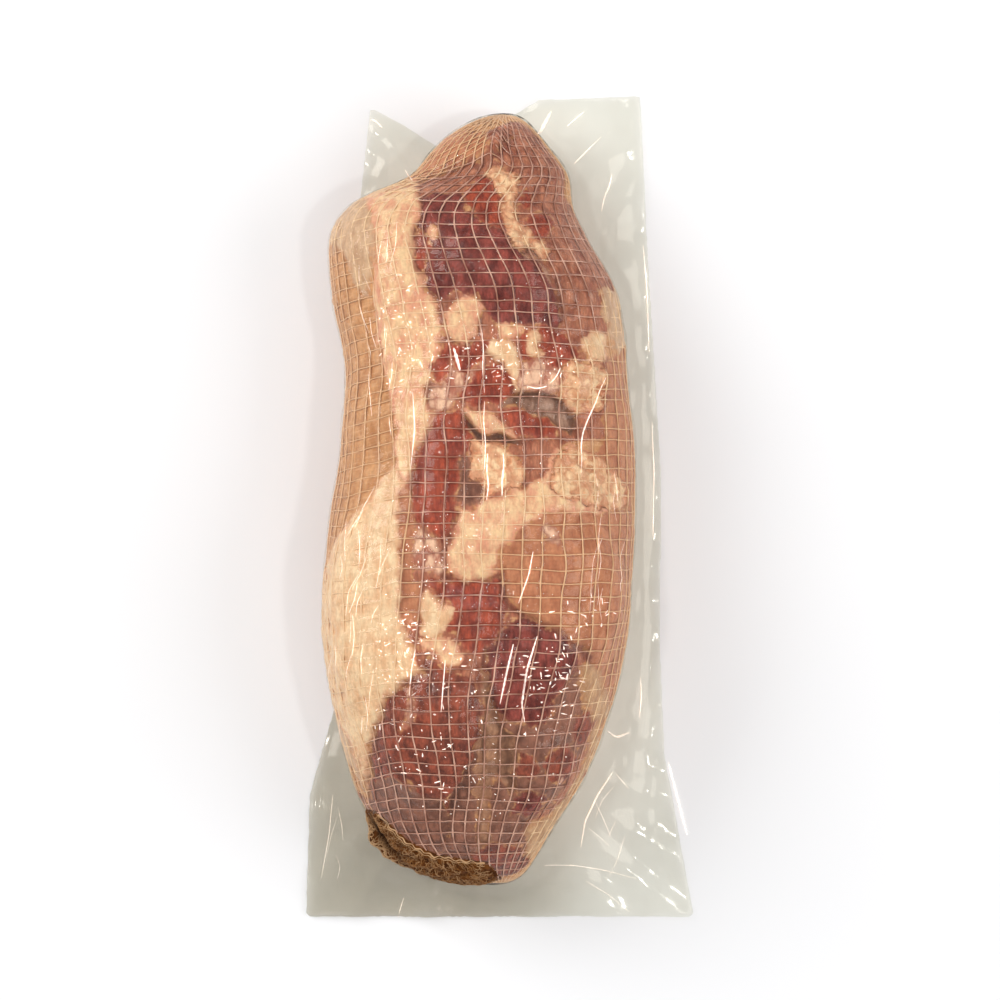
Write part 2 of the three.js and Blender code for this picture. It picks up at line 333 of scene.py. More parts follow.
@dataclass
class WrappedSurface:
    """A closed surface with even places along it and round it, on which the net is laid."""

    table: np.ndarray
    ends: np.ndarray
    columns: int = 264
    length: float = field(init=False)
    share: np.ndarray = field(init=False)
    even: np.ndarray = field(init=False)

    def __post_init__(self) -> None:
        """Space the places evenly round every section, and measure the way along."""
        rows = len(self.table)
        self.even = np.zeros((rows, self.columns, 3))
        for r, ring in enumerate(self.table):
            closed = np.vstack([ring, ring[:1]])
            steps = np.linalg.norm(np.diff(closed, axis=0), axis=1)
            run = np.concatenate([[0], np.cumsum(steps)])
            wanted = run[-1] * np.arange(self.columns) / self.columns
            for axis in range(3):
                self.even[r, :, axis] = np.interp(wanted, run, closed[:, axis])
        first = np.linalg.norm(self.even[0] - self.ends[0], axis=1).mean()
        last = np.linalg.norm(self.even[-1] - self.ends[1], axis=1).mean()
        between = np.linalg.norm(np.diff(self.even, axis=0), axis=2).mean(axis=1)
        run = first + np.concatenate([[0], np.cumsum(between)])
        self.length = float(run[-1] + last)
        self.share = run / self.length

    def at(self, along: np.ndarray, around: np.ndarray) -> np.ndarray:
        """Find places on the surface.

        Args:
            along: Share of the way from the broad end to the shank end.
            around: Share of the way round, from the middle of the underside.

        Returns:
            Places, with x, y and z last.
        """
        row = np.interp(along, self.share, np.arange(len(self.share)))
        low = np.clip(row.astype(int), 0, len(self.share) - 2)
        part = (row - low)[..., None]
        turn = (around % 1.0) * self.columns
        left = turn.astype(int) % self.columns
        right = (left + 1) % self.columns
        slip = (turn - np.floor(turn))[..., None]
        near = self.even[low, left] * (1 - slip) + self.even[low, right] * slip
        far = self.even[low + 1, left] * (1 - slip) + self.even[low + 1, right] * slip
        places = near * (1 - part) + far * part
        start = np.clip(along / self.share[0], 0, 1)[..., None]
        stop = np.clip((1 - along) / (1 - self.share[-1]), 0, 1)[..., None]
        places = self.ends[0] * (1 - start) + places * start
        return self.ends[1] * (1 - stop) + places * stop


@dataclass
class NetLayout:
    """Where the threads of the net run on the wrapped surface."""

    surface: WrappedSurface
    threads: int = 44
    ring_pitch: float = 6.9 * MM
    drift: float = 0.06
    jitter: float = 0.055
    calm_rings: float = 5.0
    flank: float = -50 * MM
    flank_slope: float = 0.24
    cap_starts: tuple[float, float] = (160 * MM, 174 * MM)
    cap_side: float = 6 * MM
    cap_heart: float = -20 * MM
    cap_shear: float = 8 * MM
    seed: int = 11
    rings: int = field(init=False)
    thread_shift: np.ndarray = field(init=False)
    ring_shift: np.ndarray = field(init=False)

    def __post_init__(self) -> None:
        """Count the rings and draw each thread's own shift."""
        self.rings = round(self.surface.length / self.ring_pitch)
        draw = np.random.default_rng(self.seed)
        self.thread_shift = draw.normal(0, self.jitter, self.threads)
        self.ring_shift = draw.normal(0, self.jitter, self.rings + 1)

    def at(self, ring: np.ndarray, thread: np.ndarray) -> np.ndarray:
        """Find the place of net coordinates on the surface.

        Args:
            ring: Ring number, from 0 at the broad end.
            thread: Thread number, from 0 under the joint.

        Returns:
            Places, with x, y and z last.
        """
        rough = self.surface.at(ring / self.rings, thread / self.threads)
        calm = smooth_step(np.minimum(ring, self.rings - ring), 0.0, self.calm_rings)
        own = np.interp(ring, np.arange(self.rings + 1), self.ring_shift)
        side = np.interp(thread % self.threads, np.arange(self.threads + 1),
                         np.append(self.thread_shift, self.thread_shift[0]))
        sway = Waves(21, 62 * MM).at(rough)
        slant = Waves(22, 78 * MM).at(rough)
        ripple = Waves(23, 19 * MM).at(rough)
        # Over the shank's cap the rings turn aslant, and on the left flank they droop.
        cap = (smooth_step(rough[..., 1], *self.cap_starts)
               * smooth_step(-rough[..., 0], -self.cap_side, self.cap_side))
        shear = cap * (rough[..., 0] - self.cap_heart) / self.cap_shear
        shear -= calm * self.flank_slope * np.maximum(
            0, self.flank - rough[..., 0]) / self.ring_pitch
        moved_ring = ring + calm * (self.drift * (1.5 * slant + 0.45 * ripple) + own) + shear
        moved_thread = thread + calm * (self.drift * (1.3 * sway + 0.4 * ripple) + side)
        return self.surface.at(np.clip(moved_ring, 0, self.rings) / self.rings,
                               moved_thread / self.threads)

    def grid(self, per_ring: int, per_thread: int) -> np.ndarray:
        """Lay a grid over the whole surface that lines up with the net.

        Args:
            per_ring: Rows in each ring's cell.
            per_thread: Columns in each thread's cell.

        Returns:
            Net coordinates of every crossing, ring and thread last, without the two end points.
        """
        rows = np.arange(1, self.rings * per_ring) / per_ring
        columns = np.arange(self.threads * per_thread) / per_thread
        return np.stack(np.meshgrid(rows, columns, indexing="ij"), axis=-1)


def surface_normals(points: np.ndarray) -> np.ndarray:
    """Find the outward direction at each place of a wrapped grid.

    Args:
        points: Places, row by row, closed round each row.

    Returns:
        Unit directions.
    """
    around = np.roll(points, -1, 1) - np.roll(points, 1, 1)
    along = np.gradient(points, axis=0)
    normals = np.cross(along, around)
    size = np.linalg.norm(normals, axis=-1, keepdims=True)
    normals /= np.maximum(size, 1e-12)
    middle = points.mean(axis=1, keepdims=True)
    flip = np.sign(np.sum(normals * (points - middle)))
    return normals * flip


def wrapped_mesh(name: str, points: np.ndarray, ends: np.ndarray, per_ring: int,
                 per_thread: int) -> Object:
    """Make a closed mesh of a wrapped grid and its two end points.

    Args:
        name: The piece's name.
        points: Places, row by row.
        ends: The broad end point and the shank end point.
        per_ring: Rows in each ring's cell.
        per_thread: Columns in each thread's cell.

    Returns:
        The object, with net coordinates as its UV map.
    """
    rows, columns = points.shape[:2]
    first, last = rows * columns, rows * columns + 1
    faces, places = [], []
    for r in range(-1, rows):
        for c in range(columns):
            d = (c + 1) % columns
            left, right = c / per_thread, (c + 1) / per_thread
            low, high = (r + 1) / per_ring, (r + 2) / per_ring
            if r == -1:
                faces.append((first, c, d))
                places += [(left, low), (left, high), (right, high)]
            elif r == rows - 1:
                faces.append((r * columns + d, r * columns + c, last))
                places += [(right, low), (left, low), (left, high)]
            else:
                faces.append((r * columns + c, (r + 1) * columns + c,
                              (r + 1) * columns + d, r * columns + d))
                places += [(left, low), (left, high), (right, high), (right, low)]
    piece = mesh_object(name, np.vstack([points.reshape(-1, 3), ends]), faces)
    layer = piece.data.uv_layers.new(name="net")
    layer.data.foreach_set("uv", np.array(places, np.float32).ravel())
    face_outwards(piece)
    return piece


# ---- The cut face: which tissue shows where --------------
class Tissue(Enum):
    """What the surface of the meat is made of; the value names its mesh attribute."""

    RUMP = "rump_rind"
    BROWN = "brown_lean"
    LEAN = "red_lean"
    DARK = "dark_lean"
    SMOKY = "smoky_lean"
    PURPLE = "purple_lean"
    SEAM = "seam_fat"
    TAN = "tan_fat"
    PEACH = "peach_fat"
    CREAM = "cream_fat"
    KNOBBLY = "knobbly_fat"
    PALE = "pale_fat"
    SILVER = "silver_skin"
    # Not a tissue: the painted shade of hollows and creases in the cut face.
    SHADED_HOLLOW = "hollow"


@dataclass(frozen=True)
class Patch:
    """One area of the cut face: its tissue, its rise in millimetres, and its plan outline."""

    name: str
    tissue: Tissue
    rise: float
    outline: Outline


PATCHES: tuple[Patch, ...] = (
    Patch("brown meat between the rest", Tissue.BROWN, 0.0, (
        (417, 190), (500, 166), (585, 200), (612, 290), (604, 340), (606, 400), (600, 440),
        (560, 445), (545, 480), (500, 560), (510, 600), (585, 640), (600, 700), (575, 790),
        (548, 815), (530, 880), (440, 860), (370, 800), (385, 700), (410, 650), (404, 600),
        (404, 490), (430, 430), (430, 380), (440, 320), (418, 260))),
    Patch("hazy upper left corner", Tissue.PALE, 0.5, (
        (330, 205), (345, 192), (370, 188), (378, 200), (378, 240), (376, 275), (368, 300),
        (356, 292), (350, 262), (338, 250), (326, 262), (322, 235))),
    Patch("cap of rind", Tissue.BROWN, 0.6, (
        (404, 186), (416, 184), (434, 177), (452, 170), (470, 164), (486, 160), (497, 155),
        (503, 146), (510, 136), (522, 124), (532, 114), (515, 100), (430, 100), (405, 150))),
    Patch("tan side of the cap", Tissue.RUMP, 0.5, (
        (404, 186), (416, 184), (434, 177), (452, 170), (468, 164), (482, 157), (488, 146),
        (486, 125), (478, 98), (430, 100), (405, 150))),
    Patch("shank side", Tissue.BROWN, 0.3, (
        (532, 112), (560, 120), (590, 175), (600, 215), (622, 270), (612, 300),
        (604, 332), (580, 338), (565, 332), (556, 300), (548, 275), (535, 255), (545, 212),
        (530, 196), (520, 175), (500, 168), (490, 162), (500, 154), (506, 143), (514, 131),
        (524, 121))),
    Patch("net-covered shoulder", Tissue.BROWN, -0.3, (
        (417, 188), (445, 176), (470, 164), (492, 160), (505, 168), (500, 182), (480, 196),
        (455, 200), (430, 204), (420, 212))),
    Patch("fat roll", Tissue.PEACH, 0.9, (
        (368, 192), (388, 182), (414, 182), (419, 190), (421, 205), (424, 220), (417, 238),
        (413, 257), (418, 273), (424, 284), (430, 297), (440, 309), (442, 331), (441, 346),
        (440, 362), (440, 378), (434, 394), (435, 410), (438, 420), (428, 436), (420, 450),
        (415, 462), (413, 480), (409, 488), (399, 480), (397, 455), (399, 430), (397, 408),
        (390, 388), (384, 362), (379, 335), (376, 300), (379, 262), (377, 230), (370, 207))),
    Patch("fat cheek", Tissue.CREAM, 0.7, (
        (409, 486), (402, 494), (402, 540), (404, 575), (406, 600), (410, 624), (414, 640),
        (418, 652), (424, 664), (413, 674), (400, 684), (389, 690), (385, 705), (379, 720),
        (373, 740), (370, 760), (369, 780), (364, 800), (352, 790), (335, 765), (325, 730),
        (318, 690), (315, 640), (318, 600), (326, 575), (331, 556), (337, 541), (350, 524),
        (362, 508), (373, 496), (385, 478), (398, 466))),
    Patch("bright lean beside the vein", Tissue.LEAN, 0.5, (
        (464, 196), (474, 184), (490, 180), (500, 196), (502, 220), (515, 236), (505, 246),
        (488, 238), (470, 226), (462, 210))),
    Patch("eye muscle", Tissue.DARK, 0.0, (
        (417, 232), (421, 215), (422, 202), (440, 197), (461, 198), (470, 216), (480, 226),
        (496, 234), (512, 244), (522, 254), (534, 263), (545, 275), (552, 289), (557, 305),
        (559, 320), (556, 332), (541, 328), (526, 328), (509, 331), (495, 327), (488, 319),
        (484, 308), (478, 300), (467, 298), (455, 299), (447, 304), (440, 306), (434, 297),
        (427, 288), (423, 279), (417, 269), (413, 257), (415, 245))),
    Patch("bright lobe of the eye", Tissue.LEAN, 0.9, (
        (416, 243), (424, 236), (431, 243), (432, 258), (430, 272), (421, 274), (416, 262))),
    Patch("fat dot", Tissue.PEACH, 0.6, (
        (429, 235), (433, 231), (439, 234), (440, 240), (434, 243), (429, 240))),
    Patch("vein of fat", Tissue.KNOBBLY, 1.1, (
        (486, 178), (492, 173), (505, 171), (514, 176), (519, 183), (516, 192), (521, 197),
        (513, 203), (514, 214), (518, 224), (527, 232), (540, 240), (548, 255), (543, 267),
        (529, 263), (513, 251), (507, 238), (505, 228), (502, 219), (499, 211), (502, 203),
        (495, 196), (492, 186))),
    Patch("lean beyond the vein", Tissue.LEAN, 0.5, (
        (517, 198), (528, 196), (533, 206), (530, 214), (520, 216), (516, 208))),
    Patch("small round muscle", Tissue.LEAN, 1.0, (
        (528, 222), (538, 215), (549, 218), (553, 229), (548, 242), (538, 248), (530, 240))),
    Patch("lean by the edge", Tissue.BROWN, 0.5, (
        (556, 262), (575, 258), (592, 270), (598, 292), (588, 300), (568, 296), (556, 282))),
    Patch("skin over the eye's edge", Tissue.SILVER, -0.5, (
        (519, 253), (526, 256), (537, 263), (548, 275), (555, 287), (558, 298), (553, 296),
        (547, 283), (536, 269), (524, 260))),
    Patch("fat below the eye", Tissue.PEACH, 1.2, (
        (448, 318), (457, 308), (467, 301), (477, 302), (483, 312), (480, 326), (476, 339),
        (469, 347), (457, 345), (447, 341), (441, 333), (447, 325))),
    Patch("fat tag", Tissue.PEACH, 0.9, (
        (497, 327), (506, 329), (518, 330), (527, 334), (519, 340), (509, 344), (500, 341))),
    Patch("lean under the fat", Tissue.LEAN, -0.3, (
        (438, 356), (444, 348), (462, 351), (480, 346), (492, 340), (488, 352), (484, 366),
        (470, 378), (455, 372), (447, 382), (438, 388), (432, 374))),
    Patch("torn silver skin", Tissue.SILVER, 0.1, (
        (431, 383), (441, 386), (449, 378), (452, 362), (459, 374), (470, 377), (481, 366),
        (485, 372), (473, 383), (463, 393), (459, 404), (449, 413), (440, 417), (430, 411),
        (427, 399))),
    Patch("streaked lean", Tissue.LEAN, 0.0, (
        (520, 341), (541, 328), (560, 333), (574, 345), (577, 360), (560, 377), (545, 386),
        (527, 389), (518, 372))),
    Patch("heart of fat", Tissue.CREAM, 1.5, (
        (486, 350), (489, 344), (496, 344), (501, 347), (508, 343), (514, 349), (517, 359),
        (518, 370), (523, 382), (521, 394), (514, 401), (512, 385), (508, 374), (500, 367),
        (492, 361), (487, 356))),
    Patch("spindle of fat", Tissue.CREAM, 1.4, (
        (527, 344), (530, 335), (536, 333), (540, 340), (540, 350), (543, 357), (538, 363),
        (531, 361), (527, 353))),
    Patch("lean dome", Tissue.LEAN, 1.2, (
        (462, 393), (470, 383), (481, 372), (490, 368), (503, 369), (510, 378), (514, 391),
        (510, 402), (500, 406), (484, 408), (470, 405), (460, 402))),
    Patch("lean beside the knobbly fat", Tissue.BROWN, 0.2, (
        (556, 300), (600, 296), (606, 330), (590, 334), (580, 340), (582, 360), (575, 352),
        (560, 334))),
    Patch("knobbly fat", Tissue.KNOBBLY, 1.0, (
        (555, 388), (560, 372), (570, 362), (584, 362), (597, 364), (607, 378), (606, 396),
        (599, 409), (588, 414), (575, 415), (564, 406), (556, 398))),
    Patch("cream fat above it", Tissue.CREAM, 1.2, (
        (579, 342), (590, 334), (603, 336), (606, 350), (601, 365), (588, 366), (581, 354))),
    Patch("fat on the right edge", Tissue.PALE, 0.8, (
        (597, 292), (612, 288), (625, 305), (636, 335), (630, 356), (611, 353), (605, 333))),
    # Partly painted highlight: pale skin, painted paler for the glints on the film over it.
    Patch("pale skin and glints under the crease", Tissue.SILVER, 0.2, (
        (519, 362), (530, 366), (544, 360), (552, 370), (562, 380), (556, 392), (544, 398),
        (528, 398), (518, 392))),
    # Painted shade fills the hollow.
    Patch("hollow", Tissue.SHADED_HOLLOW, -2.0, (
        (512, 397), (526, 394), (541, 396), (556, 400), (567, 409), (575, 420), (570, 438),
        (556, 428), (545, 419), (526, 414), (510, 407), (500, 406))),
    Patch("lean below the hollow", Tissue.LEAN, 0.6, (
        (500, 408), (526, 415), (546, 420), (556, 430), (552, 440), (534, 442), (518, 436),
        (507, 426), (496, 416))),
    Patch("tongue of fat", Tissue.PEACH, 1.7, (
        (461, 413), (470, 411), (480, 413), (490, 417), (499, 423), (507, 430), (514, 435),
        (518, 440), (505, 438), (491, 436), (479, 430), (469, 424))),
    # Painted shade fills the crease below the tongue.
    Patch("crease below the tongue", Tissue.SHADED_HOLLOW, -2.0, (
        (463, 421), (473, 427), (482, 432), (494, 436), (508, 439), (519, 443), (514, 446),
        (498, 445), (482, 443), (471, 437))),
    Patch("lean strip", Tissue.LEAN, 0.9, (
        (437, 419), (448, 411), (461, 415), (468, 425), (474, 438), (472, 449), (463, 456),
        (459, 474), (458, 496), (457, 515), (452, 530), (446, 541), (437, 534), (426, 524),
        (418, 519), (416, 500), (414, 484), (417, 465), (424, 451), (430, 436))),
    Patch("purple side of the strip", Tissue.PURPLE, 0.0, (
        (461, 456), (470, 453), (471, 470), (480, 482), (487, 486), (480, 503), (466, 504),
        (459, 498))),
    Patch("fat patch", Tissue.KNOBBLY, 0.9, (
        (470, 444), (480, 441), (494, 441), (504, 449), (512, 456), (521, 464), (522, 480),
        (522, 492), (508, 496), (496, 492), (486, 499), (479, 505), (486, 490), (482, 482),
        (472, 478), (470, 462))),
    Patch("purple lean", Tissue.BROWN, 0.1, (
        (507, 446), (525, 441), (545, 440), (566, 440), (556, 450), (546, 460), (541, 474),
        (532, 482), (526, 478), (522, 464), (513, 456))),
    Patch("band of fat", Tissue.PEACH, 0.9, (
        (456, 575), (446, 560), (451, 545), (457, 530), (461, 515), (459, 507), (470, 509),
        (479, 507), (488, 500), (501, 496), (516, 490), (531, 485), (544, 479), (547, 468),
        (545, 459), (556, 451), (568, 447), (581, 449), (593, 457), (607, 469), (619, 480),
        (627, 492), (624, 506), (611, 513), (597, 514), (580, 512), (562, 511), (550, 514),
        (540, 520), (530, 528), (519, 540), (508, 551), (501, 562), (499, 571), (485, 576),
        (470, 578))),
    Patch("knobbly end of the band", Tissue.KNOBBLY, 1.1, (
        (548, 486), (552, 462), (562, 452), (581, 449), (593, 457), (607, 469), (619, 480),
        (630, 492), (624, 507), (611, 513), (597, 508), (580, 502), (562, 498))),
    Patch("rump skin", Tissue.RUMP, 0.5, (
        (494, 566), (502, 547), (514, 533), (528, 521), (546, 511), (575, 512), (600, 514),
        (620, 511), (645, 500), (650, 600), (645, 680), (620, 720), (604, 706), (597, 680),
        (590, 655), (580, 642), (565, 631), (545, 622), (530, 611), (515, 601), (503, 585))),
    Patch("right flank", Tissue.RUMP, 0.1, (
        (606, 358), (645, 350), (655, 500), (622, 508), (628, 492), (619, 478), (607, 466),
        (596, 456), (604, 430), (607, 395))),
    Patch("foot of the cheek", Tissue.PALE, 0.6, (
        (318, 700), (338, 715), (352, 735), (362, 760), (368, 785), (364, 800), (352, 800),
        (330, 765))),
    # Partly painted highlight: silver skin, painted as pale as the glint on the film over it.
    Patch("smear of silver skin and glint", Tissue.SILVER, 0.6, (
        (538, 527), (545, 523), (554, 527), (560, 538), (556, 545), (547, 541), (540, 534))),
    Patch("silver skin below the strip", Tissue.SILVER, -0.3, (
        (414, 529), (424, 526), (434, 534), (440, 546), (447, 560), (450, 571), (436, 572),
        (424, 571), (418, 560), (415, 545))),
    Patch("thin lean strip", Tissue.RUMP, -0.1, (
        (400, 490), (410, 487), (415, 500), (417, 525), (415, 545), (416, 570), (423, 582),
        (422, 600), (419, 620), (411, 634), (404, 615), (403, 580), (402, 540))),
    Patch("square lean", Tissue.LEAN, 0.7, (
        (430, 578), (455, 579), (480, 578), (499, 577), (504, 594), (508, 610), (504, 625),
        (491, 640), (480, 650), (466, 648), (456, 634), (450, 622), (455, 609), (448, 601),
        (440, 591))),
    Patch("flake of fat", Tissue.CREAM, 1.2, (
        (430, 586), (438, 592), (445, 602), (455, 606), (454, 615), (448, 621), (444, 634),
        (433, 642), (425, 632), (423, 612), (426, 596))),
    Patch("soft fat below the flake", Tissue.PEACH, 0.8, (
        (419, 634), (434, 637), (449, 632), (458, 640), (464, 650), (461, 659), (452, 662),
        (443, 657), (436, 649), (424, 646))),
    Patch("lower left muscle", Tissue.SMOKY, 1.0, (
        (433, 651), (438, 660), (448, 666), (460, 670), (472, 672), (479, 685), (481, 700),
        (480, 720), (478, 740), (473, 752), (468, 765), (458, 778), (452, 790), (450, 810),
        (448, 838), (440, 856), (425, 848), (409, 836), (393, 824), (377, 812), (370, 797),
        (371, 781), (374, 768), (373, 752), (374, 740), (381, 720), (386, 705), (391, 692),
        (400, 685), (413, 678), (424, 668), (428, 656))),
    Patch("smoky lower part of the muscle", Tissue.PURPLE, 0.6, (
        (372, 778), (400, 772), (425, 788), (445, 796), (450, 815), (447, 845), (430, 850),
        (409, 836), (393, 824), (377, 812), (370, 797))),
    Patch("pale streak", Tissue.SILVER, 1.0, (
        (410, 684), (416, 683), (417, 697), (421, 706), (418, 715), (408, 720), (402, 725),
        (409, 711), (411, 699))),
    Patch("clouded meat", Tissue.PURPLE, 0.0, (
        (450, 790), (460, 775), (472, 752), (480, 740), (492, 760), (500, 775), (512, 785),
        (528, 812), (526, 838), (536, 856), (520, 880), (490, 890), (460, 872), (440, 856),
        (448, 838))),
    Patch("seam", Tissue.SEAM, -1.2, (
        (481, 664), (487, 673), (491, 690), (496, 705), (501, 718), (512, 730), (517, 745),
        (516, 762), (514, 774), (516, 784), (509, 788), (503, 776), (496, 768), (492, 782),
        (490, 800), (491, 822), (489, 846), (479, 852), (476, 830), (476, 800), (478, 780),
        (478, 762), (479, 745), (484, 720), (485, 700), (484, 685))),
    Patch("lower right muscle", Tissue.DARK, 0.6, (
        (487, 665), (489, 645), (509, 618), (521, 611), (532, 618), (546, 625), (562, 634),
        (575, 645), (578, 660), (567, 675), (557, 688), (549, 702), (542, 717), (532, 721),
        (520, 716), (505, 715), (497, 706), (492, 692), (489, 678))),
    Patch("brown meat beside it", Tissue.PURPLE, 0.3, (
        (576, 662), (579, 692), (590, 708), (592, 722), (586, 738), (578, 757), (566, 776),
        (556, 792), (548, 802), (537, 812), (522, 818), (518, 790), (514, 774), (517, 748),
        (512, 730), (503, 716), (520, 716), (533, 721), (543, 717), (550, 702), (558, 688),
        (568, 675))),
    Patch("lean at the right edge", Tissue.SMOKY, 0.4, (
        (572, 713), (582, 706), (591, 717), (588, 732), (578, 744), (570, 736))),
    Patch("lean below it", Tissue.SMOKY, 0.4, (
        (550, 745), (564, 738), (578, 750), (574, 768), (560, 781), (546, 773), (543, 757))),
    Patch("red nub", Tissue.SMOKY, 0.9, (
        (518, 752), (524, 746), (536, 752), (541, 762), (530, 775), (518, 772))),
    Patch("dark red lump", Tissue.DARK, 0.6, (
        (512, 790), (526, 784), (545, 790), (548, 798), (538, 808), (524, 812), (512, 806))),
    Patch("cream patch and edge", Tissue.TAN, 0.3, (
        (576, 662), (586, 659), (598, 667), (604, 690), (612, 715), (602, 742), (588, 768),
        (576, 790), (561, 809), (552, 815), (552, 808), (570, 786), (584, 759), (589, 737),
        (592, 720), (588, 706), (579, 690))),
    Patch("cream spot", Tissue.TAN, 0.9, (
        (578, 664), (587, 662), (596, 672), (597, 690), (592, 705), (585, 710), (579, 698),
        (577, 680))),
    Patch("fat at the end", Tissue.TAN, 0.8, (
        (525, 823), (539, 815), (553, 810), (566, 812), (556, 832), (547, 846), (538, 853),
        (528, 849), (524, 836))),
    Patch("red end", Tissue.SMOKY, 0.4, (
        (472, 846), (500, 838), (520, 843), (530, 852), (548, 856), (536, 872), (515, 884),
        (490, 880), (468, 864))),
    Patch("red edge at the lower left", Tissue.PURPLE, 0.2, (
        (352, 782), (362, 790), (372, 806), (376, 824), (362, 822), (345, 800))),
)


def signed_distance(places: np.ndarray, outline: Outline) -> np.ndarray:
    """Measure how deep places lie inside an outline.

    Args:
        places: Places on the plan.
        outline: The outline's corners.

    Returns:
        Distances in plan squares, positive inside.
    """
    nearest = np.full(len(places), np.inf)
    inside = np.zeros(len(places), bool)
    for i, start in enumerate(outline):
        stop = outline[(i + 1) % len(outline)]
        a, b = np.array(start, float), np.array(stop, float)
        way = b - a
        share = np.clip(((places - a) @ way) / (way @ way), 0, 1)
        nearest = np.minimum(nearest, np.linalg.norm(places - a - share[:, None] * way, axis=1))
        crosses = (places[:, 1] < a[1]) != (places[:, 1] < b[1])
        rise = way[1] if way[1] else 1e-9
        inside ^= crosses & (places[:, 0] < a[0] + (places[:, 1] - a[1]) / rise * way[0])
    return np.where(inside, nearest, -nearest)


def path_distance(places: np.ndarray, path: Outline) -> np.ndarray:
    """Measure how far places lie from an open path.

    Args:
        places: Places on the plan.
        path: The path's corners.

    Returns:
        Distances in plan squares.
    """
    nearest = np.full(len(places), np.inf)
    for start, stop in zip(path, path[1:]):
        a, way = np.array(start, float), np.array(stop, float) - np.array(start, float)
        share = np.clip(((places - a) @ way) / (way @ way), 0, 1)
        nearest = np.minimum(nearest, np.linalg.norm(places - a - share[:, None] * way, axis=1))
    return nearest


@dataclass(frozen=True)
class Groove:
    """A crease between two parts of the meat, drawn on the plan."""

    path: Outline
    depth: float
    width: float


# Each groove sinks the meat, and its depth also sets how dark the crease is painted, as painted
# shade.
GROOVES: tuple[Groove, ...] = (
    Groove(((404, 188), (416, 186), (434, 179), (452, 172), (470, 166), (486, 162), (498, 156),
            (504, 146), (511, 136)), 0.7, 2.4 * MM),
    Groove(((417, 190), (422, 205), (424, 222), (417, 240), (413, 258), (418, 272), (426, 288),
            (438, 304)), 1.0, 1.6 * MM),
    Groove(((521, 254), (534, 262), (547, 274), (557, 290), (560, 318), (556, 334)), 1.0,
           1.8 * MM),
    Groove(((466, 424), (476, 433), (492, 440), (508, 443), (520, 443)), 1.6, 1.5 * MM),
    Groove(((513, 398), (530, 396), (548, 399), (566, 408), (574, 420), (571, 434)), 1.4,
           1.8 * MM),
    Groove(((415, 480), (417, 462), (424, 448), (432, 434), (436, 420), (430, 404), (432, 388)),
           0.9, 1.6 * MM),
    Groove(((404, 492), (403, 540), (405, 580), (406, 615), (410, 640)), 0.6, 1.3 * MM),
    Groove(((457, 512), (452, 530), (447, 545), (444, 562), (448, 576), (470, 579), (498, 575)),
           1.0, 1.5 * MM),
    Groove(((500, 575), (504, 592), (509, 606), (520, 608), (534, 616), (550, 624), (566, 634),
            (580, 644), (590, 658)), 1.3, 1.8 * MM),
    Groove(((487, 645), (484, 660), (489, 680), (495, 702), (501, 722), (507, 745), (506, 764),
            (512, 782)), 1.6, 1.8 * MM),
    Groove(((479, 668), (481, 700), (479, 735), (474, 758), (462, 778), (452, 800), (447, 835)),
           1.1, 1.6 * MM),
    Groove(((430, 652), (424, 668), (404, 682), (390, 692), (383, 712), (376, 738), (373, 765),
            (369, 790)), 1.0, 1.6 * MM),
    Groove(((440, 312), (444, 330), (450, 345), (468, 349), (478, 338), (485, 318)), 0.8,
           1.3 * MM),
    Groove(((484, 352), (494, 364), (506, 376), (512, 392), (514, 404)), 0.9, 1.2 * MM),
)


# Where the net lies bunched in two layers, on the plan.
CAP: Outline = ((425, 182), (452, 172), (470, 166), (486, 162), (498, 156), (504, 146),
                (511, 136), (522, 124), (530, 108), (480, 100), (425, 120), (405, 170))
# Pale webs of connective tissue over the lean: a path on the plan, and the web's half width.
FASCIA: tuple[tuple[Outline, float], ...] = (
    (((472, 446), (464, 470), (457, 500), (442, 522), (428, 532), (416, 546)), 3.0 * MM),
    (((432, 384), (440, 398), (452, 408), (441, 418), (430, 440), (418, 462)), 2.4 * MM),
    (((446, 556), (456, 574), (478, 579), (502, 575)), 2.0 * MM),
    (((462, 392), (474, 380), (486, 371), (500, 367)), 3.2 * MM),
    (((498, 234), (511, 248), (526, 262)), 3.2 * MM),
    (((428, 650), (446, 664), (462, 669)), 3.0 * MM),
    (((519, 253), (540, 270), (557, 292), (562, 320), (575, 345)), 2.6 * MM),
    (((505, 600), (490, 640), (468, 655), (448, 648)), 2.4 * MM),
    (((560, 335), (556, 372), (540, 388), (520, 392)), 3.0 * MM),
    (((470, 350), (455, 372), (438, 386)), 3.4 * MM),
    (((575, 640), (586, 672), (592, 712), (572, 760), (545, 806)), 3.0 * MM),
    (((498, 720), (514, 748), (512, 786), (524, 822)), 2.6 * MM),
    (((416, 690), (408, 716), (420, 742), (412, 768)), 3.0 * MM),
    (((530, 200), (548, 230), (570, 262), (590, 300)), 3.2 * MM),
)


